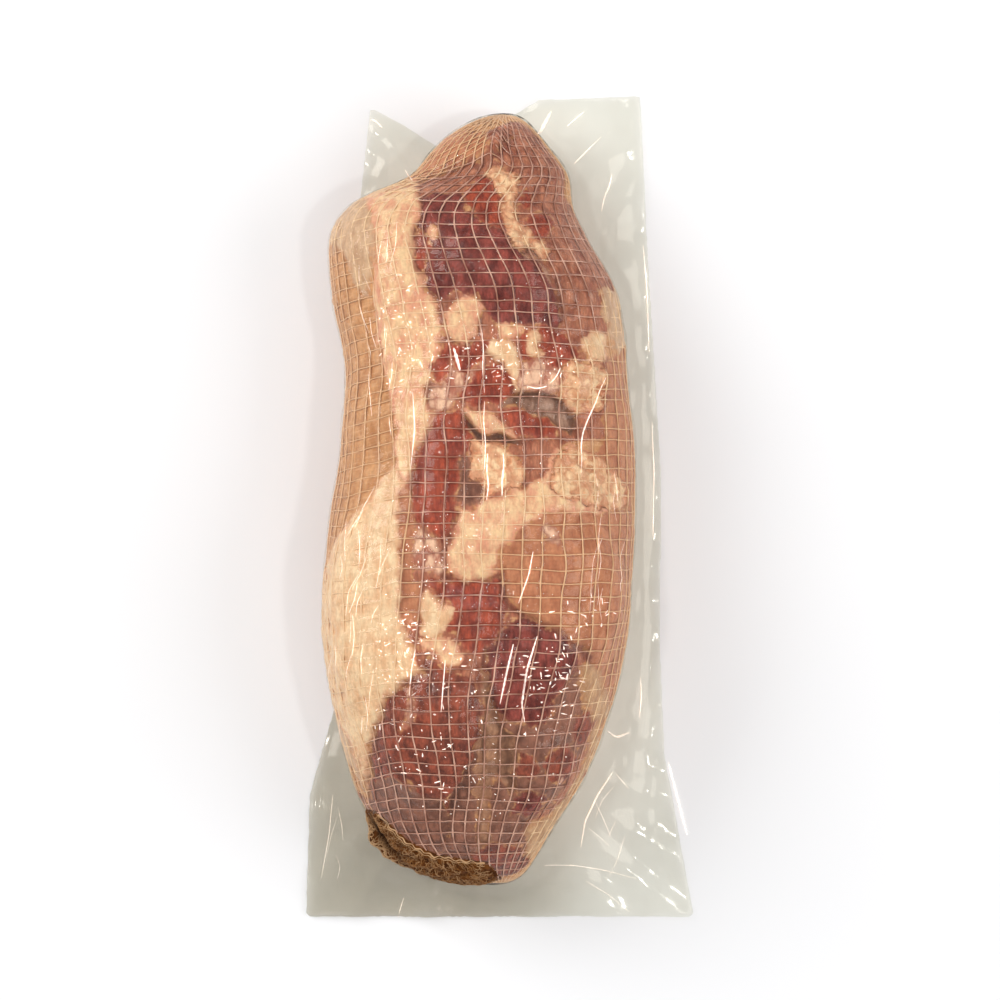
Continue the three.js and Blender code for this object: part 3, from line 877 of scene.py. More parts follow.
@dataclass
class CutFace:
    """How far each corner of the meat lies inside every tissue."""

    points: np.ndarray
    fringe: float = 6.0 * MM
    lowest: float = 38 * MM
    wander: float = 8 * MM
    unsteady: float = 1.3
    drift: float = 15.0
    drifts_between: tuple[float, float] = (34 * MM, 62 * MM)
    shoulder: tuple[float, float] = (-0.8 * MM, 1.8 * MM)
    soft_edge: float = 3 * MM
    lump_height: float = 0.35 * MM
    knob_height: float = 1.3 * MM
    depths: dict[Tissue, np.ndarray] = field(init=False)
    rises: np.ndarray = field(init=False)
    creases: np.ndarray = field(init=False)
    fascia: np.ndarray = field(init=False)

    def __post_init__(self) -> None:
        """Lay the patches one over another, and keep them off the underside."""
        flat = self.points.reshape(-1, 3)
        plan = self._unsteady_plan(flat)
        self.depths = {tissue: np.full(len(flat), -self.fringe) for tissue in Tissue}
        self.rises = np.zeros(len(flat))
        for patch in PATCHES:
            self._lay(patch, signed_distance(plan, patch.outline) * PLAN_SQUARE)
        self.creases = np.zeros(len(flat))
        for groove in GROOVES:
            near = path_distance(plan, groove.path) * PLAN_SQUARE
            self.creases = np.maximum(self.creases,
                                      groove.depth * MM * np.exp(-(near / groove.width) ** 2))
        self.fascia = np.zeros(len(flat))
        for path, width in FASCIA:
            near = path_distance(plan, path) * PLAN_SQUARE
            self.fascia = np.maximum(self.fascia, np.exp(-(near / width) ** 2))
        above = flat[:, 2] - self.lowest - self.wander * Waves(34, 34 * MM).at(flat)
        for tissue in Tissue:
            self.depths[tissue] = np.clip(np.minimum(self.depths[tissue], above),
                                          -self.fringe, self.fringe)
        self.rises *= smooth_step(above, 0.0, self.fringe)
        self.creases *= smooth_step(above, 0.0, self.fringe)

    def _unsteady_plan(self, flat: np.ndarray) -> np.ndarray:
        """Put corners on the plan, a little off, as if it were drawn by hand.

        Args:
            flat: The corners, one row each.

        Returns:
            Places on the plan.
        """
        plan = on_plan(flat)
        plan[:, 0] += self.unsteady * Waves(31, 9 * MM).at(flat)
        plan[:, 1] += self.unsteady * Waves(32, 9 * MM).at(flat)
        # Low on the flanks the outlines drift, so that they don't run straight down.
        low = 1 - smooth_step(flat[:, 2], *self.drifts_between)
        plan[:, 1] += self.drift * low * Waves(33, 26 * MM).at(flat)
        return plan

    def _lay(self, patch: Patch, depth: np.ndarray) -> None:
        """Lay one patch over those before it.

        Args:
            patch: The patch.
            depth: How far each corner lies inside its outline, in metres.
        """
        for tissue in Tissue:
            if tissue is patch.tissue:
                self.depths[tissue] = np.maximum(self.depths[tissue], depth)
            else:
                self.depths[tissue] = np.minimum(self.depths[tissue], -depth)
        share = smooth_step(depth, *self.shoulder)
        self.rises += (patch.rise * MM - self.rises) * share

    def share(self, tissue: Tissue, soft: float) -> np.ndarray:
        """Say from 0 to 1 how much of a tissue each corner is, with an edge of a soft width."""
        return smooth_step(self.depths[tissue], -soft / 2, soft / 2)

    def relief(self) -> np.ndarray:
        """Raise the fat and sink the seams, as the real tissues lie.

        Returns:
            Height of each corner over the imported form, in metres.
        """
        flat = self.points.reshape(-1, 3)
        fat = self.share(Tissue.PEACH, self.soft_edge) + self.share(Tissue.CREAM, self.soft_edge)
        knobbly = self.share(Tissue.KNOBBLY, self.soft_edge)
        lumps = 0.5 - np.abs(Waves(41, 8 * MM).at(flat))
        knobs = 0.5 - np.abs(Waves(42, 7.5 * MM).at(flat))
        height = self.lump_height * fat * lumps + self.knob_height * knobbly * knobs
        return self.rises - self.creases + height


# ---- Finishes --------------------------------------------
@dataclass(frozen=True)
class TissueLook:
    """The colours of a tissue: two that it is mottled with, and one along its edge."""

    light: str
    dark: str
    edge: str
    roughness: float
    cloudy: tuple[float, float] = (0.3, 0.68)


RIND_LOOK = TissueLook("#D39B6B", "#B97D50", "#B97E50", 0.5)
TISSUE_LOOKS: dict[Tissue, TissueLook] = {
    Tissue.RUMP: TissueLook("#C98660", "#AE6A4A", "#B87656", 0.45),
    Tissue.BROWN: TissueLook("#BE7A5C", "#8E4C38", "#A8644C", 0.42),
    Tissue.LEAN: TissueLook("#B24E34", "#7C2E22", "#A85A44", 0.36),
    Tissue.DARK: TissueLook("#96443A", "#5C201C", "#864638", 0.33),
    Tissue.SMOKY: TissueLook("#A04E38", "#5E2A20", "#944E3A", 0.36),
    Tissue.PURPLE: TissueLook("#9A6450", "#6C4234", "#8C5A46", 0.4),
    Tissue.SEAM: TissueLook("#BE8C6C", "#8A5E46", "#A06C50", 0.42),
    Tissue.TAN: TissueLook("#CCA078", "#AA7A54", "#AE7854", 0.42),
    Tissue.PALE: TissueLook("#DAB490", "#BE9472", "#C08E6A", 0.42),
    Tissue.PEACH: TissueLook("#F0CA9C", "#DC9A7A", "#D88E72", 0.4),
    Tissue.CREAM: TissueLook("#F2D1A8", "#E2B288", "#DCA280", 0.42),
    Tissue.KNOBBLY: TissueLook("#FBD6AA", "#E6AA80", "#D88A66", 0.4),
    Tissue.SILVER: TissueLook("#F0C2A2", "#B4705A", "#A4604C", 0.4, (0.36, 0.6)),
    # Painted shade: greyish browns that stand for the shade in hollows and creases.
    Tissue.SHADED_HOLLOW: TissueLook("#B8907A", "#7C5442", "#94624A", 0.45),
}
LEANS = (Tissue.LEAN, Tissue.DARK, Tissue.SMOKY, Tissue.BROWN)
FATS = (Tissue.PEACH, Tissue.CREAM, Tissue.KNOBBLY, Tissue.PALE, Tissue.TAN)


@dataclass(frozen=True)
class SmokedPork:
    """Smoked cured pork: moist lean with fine fibres, waxy fat, and tan smoked rind.

    The eye sees dark red grain, pale marbling and soft cream fat, and the tan rind pressed into
    small pillows by the net.
    """

    edge: float = 0.8 * MM
    ragged: float = 6.0 * MM
    rim: float = 2.6 * MM
    cloud: float = 5.0 * MM
    fray: float = 4.0 * MM
    fibre: float = 1.1 * MM
    vein: float = 6 * MM
    grain: float = 1.4 * MM
    knob: float = 5.2 * MM
    knob_gap: str = "#CC8460"
    dash: str = "#E5B58E"
    vein_in_fat: str = "#CF8062"
    vein_in_lean: str = "#E0AE96"
    # Painted shade: the colour that the creases darken towards.
    crease: str = "#7A4A38"
    # Painted shade: how dark the meat turns beside the threads.
    groove_shade: float = 0.9
    sunk_knobs: float = -1.8

    def make(self) -> Material:
        """Build the material.

        Returns:
            The material.
        """
        material, tree = new_material("smoked_pork")
        place = add_node(tree, "ShaderNodeTexCoord").outputs["Object"]
        drawn = add_node(tree, "ShaderNodeMapping", {}, {
            "Vector": place, "Rotation": (0.0, 0.0, math.radians(-12)),
            "Scale": (1.0, 0.45, 1.0)})
        noises = []
        for vector, size, detail in ((drawn.outputs[0], self.cloud, 3.0), (place, self.fray, 2.0)):
            noise = add_node(tree, "ShaderNodeTexNoise", {}, {
                "Vector": vector, "Scale": 1 / size, "Detail": detail, "Roughness": 0.6})
            parts = add_node(tree, "ShaderNodeSeparateColor", {}, {0: noise.outputs["Color"]})
            noises.append(list(parts.outputs))
        clouds, frays = noises
        knobs = add_node(tree, "ShaderNodeTexVoronoi", {"feature": "F1"}, {
            "Vector": place, "Scale": 1 / self.knob, "Randomness": 1.0}).outputs["Distance"]
        gap = add_node(tree, "ShaderNodeMapRange", EASED, {
            "Value": knobs, "From Min": 0.44, "From Max": 0.68, "To Max": 0.62}).outputs[0]
        colour = self._rind(tree, clouds)
        rough: NodeSocket | float = RIND_LOOK.roughness
        lean: NodeSocket | float = 0.0
        shares: dict[Tissue, NodeSocket] = {}
        for number, (tissue, look) in enumerate(TISSUE_LOOKS.items()):
            share, depth = self._ragged(tree, tissue, frays[number % 3])
            upper = self._mottled(tree, clouds[(number + 1) % 3], look)
            inner = add_node(tree, "ShaderNodeMapRange", EASED, {
                "Value": depth, "From Min": 0.0, "From Max": self.rim,
                "To Min": 0.25, "To Max": 1.0})
            upper = add_node(tree, "ShaderNodeMix", COLOURS, {
                0: inner.outputs[0], 6: linear(look.edge), 7: upper}).outputs[2]
            if tissue is Tissue.KNOBBLY:
                upper = add_node(tree, "ShaderNodeMix", COLOURS, {
                    0: gap, 6: upper, 7: linear(self.knob_gap)}).outputs[2]
            colour = add_node(tree, "ShaderNodeMix", COLOURS, {
                0: share, 6: colour, 7: upper}).outputs[2]
            rough = add_node(tree, "ShaderNodeMix", {"data_type": "FLOAT"}, {
                0: share, 2: rough, 3: look.roughness}).outputs[0]
            lean = add_node(tree, "ShaderNodeMath", {
                "operation": "ADD" if tissue in LEANS else "SUBTRACT", "use_clamp": True}, {
                0: lean, 1: share}).outputs[0]
            shares[tissue] = share
        colour = self._marbled(tree, place, colour, lean)
        colour, pillow = self._painted_shade(tree, colour)
        bump = self._bump(tree, pillow, frays[1], knobs, shares[Tissue.KNOBBLY])
        skin = add_node(tree, "ShaderNodeBsdfPrincipled", {}, {
            "Base Color": colour, "Roughness": rough, "Normal": bump, "IOR": 1.4,
            "Specular IOR Level": 0.22})
        add_node(tree, "ShaderNodeOutputMaterial", {}, {"Surface": skin.outputs[0]})
        return material

    def _ragged(self, tree: NodeTree, tissue: Tissue, fray: NodeSocket
                ) -> tuple[NodeSocket, NodeSocket]:
        """Read how deep a place lies inside a tissue, and fray the tissue's edge.

        Args:
            tree: The material's tree.
            tissue: Which tissue.
            fray: The noise that frays it.

        Returns:
            How much of the tissue shows, and the frayed depth in metres.
        """
        stored = add_node(tree, "ShaderNodeAttribute", {"attribute_name": tissue.value})
        swing = add_node(tree, "ShaderNodeMath", {"operation": "MULTIPLY_ADD"}, {
            0: fray, 1: self.ragged, 2: -self.ragged / 2})
        depth = add_node(tree, "ShaderNodeMath", {"operation": "ADD"}, {
            0: stored.outputs["Fac"], 1: swing.outputs[0]}).outputs[0]
        share = add_node(tree, "ShaderNodeMapRange", EASED, {
            "Value": depth, "From Min": -self.edge, "From Max": self.edge})
        return share.outputs[0], depth

    def _mottled(self, tree: NodeTree, cloud: NodeSocket,
                 look: TissueLook) -> NodeSocket:
        """Mottle a tissue between its two colours, as a noise goes."""
        spread = add_node(tree, "ShaderNodeMapRange", EASED, {
            "Value": cloud, "From Min": look.cloudy[0], "From Max": look.cloudy[1]})
        return add_node(tree, "ShaderNodeMix", COLOURS, {
            0: spread.outputs[0], 6: linear(look.dark), 7: linear(look.light)}).outputs[2]

    def _rind(self, tree: NodeTree, clouds: list[NodeSocket]
              ) -> NodeSocket:
        """Colour the rind, with short paler dashes along the rings of the net.

        Args:
            tree: The material's tree.
            clouds: Noises of middling size.

        Returns:
            The colour.
        """
        net = add_node(tree, "ShaderNodeUVMap", {"uv_map": "net"})
        drawn = add_node(tree, "ShaderNodeMapping", {}, {
            "Vector": net.outputs[0], "Scale": (0.8, 4.0, 1.0)})
        dashes = add_node(tree, "ShaderNodeTexNoise", {}, {
            "Vector": drawn.outputs[0], "Scale": 1.3, "Detail": 2.0})
        amount = add_node(tree, "ShaderNodeMapRange", EASED, {
            "Value": dashes.outputs["Fac"], "From Min": 0.5, "From Max": 0.68, "To Max": 0.4})
        tan = self._mottled(tree, clouds[0], RIND_LOOK)
        return add_node(tree, "ShaderNodeMix", COLOURS, {
            0: amount.outputs[0], 6: tan, 7: linear(self.dash)}).outputs[2]

    def _marbled(self, tree: NodeTree, place: NodeSocket,
                 colour: NodeSocket, lean: NodeSocket) -> NodeSocket:
        """Draw fibres and thin pale threads of fat into the lean.

        Args:
            tree: The material's tree.
            place: Object coordinates.
            colour: The colour so far.
            lean: How much of the surface is lean.

        Returns:
            The colour with marbling.
        """
        # Real fibres are 0.1 mm thick; the bundles drawn here are those that a photo shows.
        grain = add_node(tree, "ShaderNodeMapping", {}, {
            "Vector": place, "Rotation": (0.0, 0.0, math.radians(24)), "Scale": (1.0, 0.22, 1.0)})
        fibres = add_node(tree, "ShaderNodeTexNoise", {}, {
            "Vector": grain.outputs[0], "Scale": 1 / self.fibre, "Detail": 1.0})
        streaks = add_node(tree, "ShaderNodeMapRange", EASED, {
            "Value": fibres.outputs["Fac"], "From Min": 0.35, "From Max": 0.75,
            "To Min": 0.84, "To Max": 1.2})
        some = add_node(tree, "ShaderNodeMath", {"operation": "MULTIPLY_ADD"}, {
            0: lean, 1: 0.65, 2: 0.35})
        by_lean = add_node(tree, "ShaderNodeMix", {"data_type": "FLOAT"}, {
            0: some.outputs[0], 2: 1.0, 3: streaks.outputs[0]})
        grained = add_node(tree, "ShaderNodeMix", SHADED, {
            0: 1.0, 6: colour, 7: by_lean.outputs[0]})
        veins = add_node(tree, "ShaderNodeTexNoise", {"noise_type": "RIDGED_MULTIFRACTAL"}, {
            "Vector": grain.outputs[0], "Scale": 1 / self.vein, "Detail": 2.0})
        web = add_node(tree, "ShaderNodeAttribute", {"attribute_name": "fascia"})
        netted = add_node(tree, "ShaderNodeMath", {"operation": "MULTIPLY_ADD"}, {
            0: web.outputs["Fac"], 1: 0.6, 2: veins.outputs["Fac"]})
        lines = add_node(tree, "ShaderNodeMapRange", EASED, {
            "Value": netted.outputs[0], "From Min": 0.84, "From Max": 1.16, "To Max": 0.8})
        tint = add_node(tree, "ShaderNodeMix", COLOURS, {
            0: lean, 6: linear(self.vein_in_fat), 7: linear(self.vein_in_lean)})
        veined = add_node(tree, "ShaderNodeMix", COLOURS, {
            0: lines.outputs[0], 6: grained.outputs[2], 7: tint.outputs[2]})
        fine = add_node(tree, "ShaderNodeTexNoise", {}, {
            "Vector": place, "Scale": 1 / self.grain, "Detail": 2.0})
        speckle = add_node(tree, "ShaderNodeMapRange", {}, {
            "Value": fine.outputs["Fac"], "From Min": 0.3, "From Max": 0.7,
            "To Min": 0.93, "To Max": 1.07})
        return add_node(tree, "ShaderNodeMix", SHADED, {
            0: 1.0, 6: veined.outputs[2], 7: speckle.outputs[0]}).outputs[2]

    def _painted_shade(self, tree: NodeTree, colour: NodeSocket
                 ) -> tuple[NodeSocket, NodeSocket]:
        """Paint shade beside each thread, where the net presses in, and in the creases.

        Args:
            tree: The material's tree.
            colour: The colour so far.

        Returns:
            The colour with its painted shade, and the height between threads.
        """
        net = add_node(tree, "ShaderNodeUVMap", {"uv_map": "net"})
        parts = add_node(tree, "ShaderNodeSeparateXYZ", {}, {0: net.outputs[0]})
        nearest = [add_node(tree, "ShaderNodeMath", {"operation": "PINGPONG"}, {
            0: parts.outputs[axis], 1: 0.5}).outputs[0] for axis in ("X", "Y")]
        closest = add_node(tree, "ShaderNodeMath", {"operation": "MINIMUM"}, {
            0: nearest[0], 1: nearest[1]})
        soft = add_node(tree, "ShaderNodeAttribute", {"attribute_name": "soft_fat"})
        flat = add_node(tree, "ShaderNodeMath", {"operation": "MULTIPLY"}, {
            0: soft.outputs["Fac"], 1: 0.8})
        pillow = add_node(tree, "ShaderNodeMapRange", EASED, {
            "Value": closest.outputs[0], "From Min": 0.02, "From Max": 0.2,
            "To Min": flat.outputs[0]}).outputs[0]
        # Painted shade beside each thread, where the net presses in.
        shade = add_node(tree, "ShaderNodeMapRange", {}, {
            "Value": pillow, "To Min": self.groove_shade, "To Max": 1.0})
        thread_shaded = add_node(tree, "ShaderNodeMix", SHADED, {
            0: 1.0, 6: colour, 7: shade.outputs[0]})
        # Painted shade in the creases, by their depth.
        crease = add_node(tree, "ShaderNodeAttribute", {"attribute_name": "crease"})
        crease_shaded = add_node(tree, "ShaderNodeMix", SHADED, {
            0: crease.outputs["Fac"], 6: thread_shaded.outputs[2], 7: linear(self.crease)})
        return crease_shaded.outputs[2], pillow

    def _bump(self, tree: NodeTree, pillow: NodeSocket,
              fray: NodeSocket, knobs: NodeSocket,
              knobbly: NodeSocket) -> NodeSocket:
        """Roughen the surface, in millimetres of height.

        Args:
            tree: The material's tree.
            pillow: The height between threads.
            fray: A fine noise.
            knobs: The distance from the middle of each knob of fat.
            knobbly: How much of the surface is knobbly fat.

        Returns:
            The bumped normal.
        """
        soft = add_node(tree, "ShaderNodeMath", {"operation": "MULTIPLY"}, {0: pillow, 1: 0.2})
        grainy = add_node(tree, "ShaderNodeMath", {"operation": "MULTIPLY_ADD"}, {
            0: fray, 1: 0.9, 2: soft.outputs[0]})
        raised = add_node(tree, "ShaderNodeMath", {"operation": "MULTIPLY"}, {
            0: knobs, 1: knobbly})
        height = add_node(tree, "ShaderNodeMath", {"operation": "MULTIPLY_ADD"}, {
            0: raised.outputs[0], 1: self.sunk_knobs, 2: grainy.outputs[0]})
        return add_node(tree, "ShaderNodeBump", {}, {
            "Height": height.outputs[0], "Strength": 1.0, "Distance": MM}).outputs[0]


@dataclass(frozen=True)
class NetThread:
    """Knitted polyester thread over latex: matt, a little see-through, tinted by smoke.

    The eye sees pale pinkish lines that darken where the smoke gathered.
    """

    name: str
    light: str
    dark: str
    over_fat: str
    over_rind_and_hollow_shade: str
    patch: float = 14 * MM
    sheen: float = 0.1
    shine: float = 0.2
    stitch: float = 0.9 * MM

    def make(self) -> Material:
        """Build the material.

        Returns:
            The material.
        """
        material, tree = new_material(self.name)
        place = add_node(tree, "ShaderNodeTexCoord").outputs["Object"]
        wide = add_node(tree, "ShaderNodeTexNoise", {}, {
            "Vector": place, "Scale": 1 / self.patch, "Detail": 3.0, "Roughness": 0.65})
        spread = add_node(tree, "ShaderNodeMapRange", EASED, {
            "Value": wide.outputs["Fac"], "From Min": 0.3, "From Max": 0.68})
        colour = add_node(tree, "ShaderNodeMix", COLOURS, {
            0: spread.outputs[0], 6: linear(self.dark), 7: linear(self.light)}).outputs[2]
        # On the gathered net the second tint is the painted shade in its hollow.
        for attribute, tint in (("over_fat", self.over_fat), ("over_rind_and_hollow_shade", self.over_rind_and_hollow_shade)):
            share = add_node(tree, "ShaderNodeAttribute", {"attribute_name": attribute})
            colour = add_node(tree, "ShaderNodeMix", COLOURS, {
                0: share.outputs["Fac"], 6: colour, 7: linear(tint)}).outputs[2]
        # A real stitch is 0.3 mm long; it is drawn at 0.9 mm so that it shows.
        stitches = add_node(tree, "ShaderNodeTexNoise", {}, {
            "Vector": place, "Scale": 1 / self.stitch, "Detail": 1.0})
        bump = add_node(tree, "ShaderNodeBump", {}, {
            "Height": stitches.outputs["Fac"], "Strength": 0.6, "Distance": 0.4 * MM})
        thread = add_node(tree, "ShaderNodeBsdfPrincipled", {}, {
            "Base Color": colour, "Roughness": 0.6, "Normal": bump.outputs[0],
            "Specular IOR Level": self.shine, "Sheen Weight": self.sheen})
        add_node(tree, "ShaderNodeOutputMaterial", {}, {"Surface": thread.outputs[0]})
        return material


@dataclass(frozen=True)
class VacuumFilm:
    """Clear polyamide and polythene film, blown thin and glossy.

    The eye sees the reflections on its folds and a faint grey haze where it lies double. More
    grey haze paints shade on part of the margin, and white haze paints highlights on creases.
    """

    name: str
    haze_and_highlight: float
    haze_and_highlight_colour: str = "#D6D3CB"
    painted_margin_shade: float = 0.0
    clear_colour: str = "#FBFBFA"
    wrinkle: float = 9 * MM
    wrinkle_height: float = 0.7 * MM
    fine: float = 2.4 * MM
    fine_height: float = 0.3 * MM
    cloud: float = 26 * MM
    roughness: float = 0.06
    face_shine: float = 0.02
    rim_shine: float = 0.18
    follows_net: bool = False
    painted_highlight: bool = False

    def make(self) -> Material:
        """Build the material.

        Returns:
            The material.
        """
        material, tree = new_material(self.name)
        place = add_node(tree, "ShaderNodeTexCoord").outputs["Object"]
        folds = add_node(tree, "ShaderNodeTexNoise", {}, {
            "Vector": place, "Scale": 1 / self.wrinkle, "Detail": 2.0, "Distortion": 0.6})
        broad = add_node(tree, "ShaderNodeBump", {}, {
            "Height": folds.outputs["Fac"], "Strength": 1.0, "Distance": self.wrinkle_height})
        small = add_node(tree, "ShaderNodeTexNoise", {}, {
            "Vector": place, "Scale": 1 / self.fine, "Detail": 1.0})
        bump = add_node(tree, "ShaderNodeBump", {}, {
            "Height": small.outputs["Fac"], "Strength": 1.0, "Distance": self.fine_height,
            "Normal": broad.outputs[0]})
        normal = bump.outputs[0]
        if self.follows_net:
            normal = self._tented(tree, normal)
        facing = add_node(tree, "ShaderNodeLayerWeight", {}, {"Blend": 0.5, "Normal": normal})
        steep = add_node(tree, "ShaderNodeMath", {"operation": "POWER"}, {
            0: facing.outputs["Facing"], 1: 4.0})
        shine = add_node(tree, "ShaderNodeMath", {"operation": "MULTIPLY_ADD"}, {
            0: steep.outputs[0], 1: self.rim_shine, 2: self.face_shine})
        gloss = add_node(tree, "ShaderNodeBsdfAnisotropic", {"distribution": "GGX"}, {
            "Color": linear("#FFFAF4"), "Roughness": self.roughness, "Normal": normal})
        clear = add_node(tree, "ShaderNodeBsdfTransparent", {}, {
            "Color": linear(self.clear_colour)})
        cloudy = add_node(tree, "ShaderNodeTexNoise", {}, {
            "Vector": place, "Scale": 1 / self.cloud, "Detail": 2.0, "Roughness": 0.6})
        amount = add_node(tree, "ShaderNodeMapRange", {}, {
            "Value": cloudy.outputs["Fac"], "From Min": 0.3, "From Max": 0.7,
            "To Min": 0.6 * self.haze_and_highlight, "To Max": 1.4 * self.haze_and_highlight}).outputs[0]
        # Painted shade: more grey haze where the mesh's shade attribute is high.
        margin_shade = add_node(tree, "ShaderNodeAttribute", {"attribute_name": "margin_shade"})
        amount = add_node(tree, "ShaderNodeMath", {"operation": "MULTIPLY_ADD"}, {
            0: margin_shade.outputs["Fac"], 1: self.painted_margin_shade, 2: amount}).outputs[0]
        haze_and_highlight_shader = add_node(tree, "ShaderNodeBsdfDiffuse", {}, {"Color": linear(self.haze_and_highlight_colour)})
        # Painted highlight: the haze is lit as if it faced straight up, and light through it is
        # added, so it stays bright white under any lamp.
        if self.painted_highlight:
            up = add_node(tree, "ShaderNodeCombineXYZ", {}, {"Z": 1.0}).outputs[0]
            tree.links.new(up, haze_and_highlight_shader.inputs["Normal"])
            through = add_node(tree, "ShaderNodeBsdfTranslucent", {}, {
                "Color": linear(self.haze_and_highlight_colour)})
            haze_and_highlight_shader = add_node(tree, "ShaderNodeAddShader", {}, {
                0: haze_and_highlight_shader.outputs[0], 1: through.outputs[0]})
        hazed_and_highlighted = add_node(tree, "ShaderNodeMixShader", {}, {
            0: amount, 1: clear.outputs[0], 2: haze_and_highlight_shader.outputs[0]})
        film = add_node(tree, "ShaderNodeMixShader", {}, {
            0: shine.outputs[0], 1: hazed_and_highlighted.outputs[0], 2: gloss.outputs[0]})
        add_node(tree, "ShaderNodeOutputMaterial", {}, {"Surface": film.outputs[0]})
        return material

    def _tented(self, tree: NodeTree, normal: NodeSocket
                ) -> NodeSocket:
        """Lift the film over the threads of the net.

        Args:
            tree: The material's tree.
            normal: The normal so far.

        Returns:
            The bumped normal.
        """
        net = add_node(tree, "ShaderNodeUVMap", {"uv_map": "net"})
        parts = add_node(tree, "ShaderNodeSeparateXYZ", {}, {0: net.outputs[0]})
        ridges = []
        for axis in ("X", "Y"):
            nearest = add_node(tree, "ShaderNodeMath", {"operation": "PINGPONG"}, {
                0: parts.outputs[axis], 1: 0.5})
            ridges.append(add_node(tree, "ShaderNodeMapRange", EASED, {
                "Value": nearest.outputs[0], "From Min": 0.0, "From Max": 0.16,
                "To Min": 1.0, "To Max": 0.0}).outputs[0])
        height = add_node(tree, "ShaderNodeMath", {"operation": "ADD"}, {
            0: ridges[0], 1: ridges[1]})
        return add_node(tree, "ShaderNodeBump", {}, {
            "Height": height.outputs[0], "Strength": 1.0, "Distance": 0.3 * MM,
            "Normal": normal}).outputs[0]


@dataclass(frozen=True)
class PaleTable:
    """A plain matt painted table top, which gives the eye an even pale ground."""

    colour: str = "#F8F9FD"
    cloud: float = 0.25

    def make(self) -> Material:
        """Build the material.

        Returns:
            The material.
        """
        material, tree = new_material("pale_table")
        place = add_node(tree, "ShaderNodeTexCoord").outputs["Object"]
        cloud = add_node(tree, "ShaderNodeTexNoise", {}, {
            "Vector": place, "Scale": 1 / self.cloud, "Detail": 2.0})
        shade = add_node(tree, "ShaderNodeMapRange", {}, {
            "Value": cloud.outputs["Fac"], "To Min": 0.97, "To Max": 1.0})
        colour = add_node(tree, "ShaderNodeMix", SHADED, {
            0: 1.0, 6: linear(self.colour), 7: shade.outputs[0]})
        top = add_node(tree, "ShaderNodeBsdfPrincipled", {}, {
            "Base Color": colour.outputs[2], "Roughness": 0.85})
        add_node(tree, "ShaderNodeOutputMaterial", {}, {"Surface": top.outputs[0]})
        return material


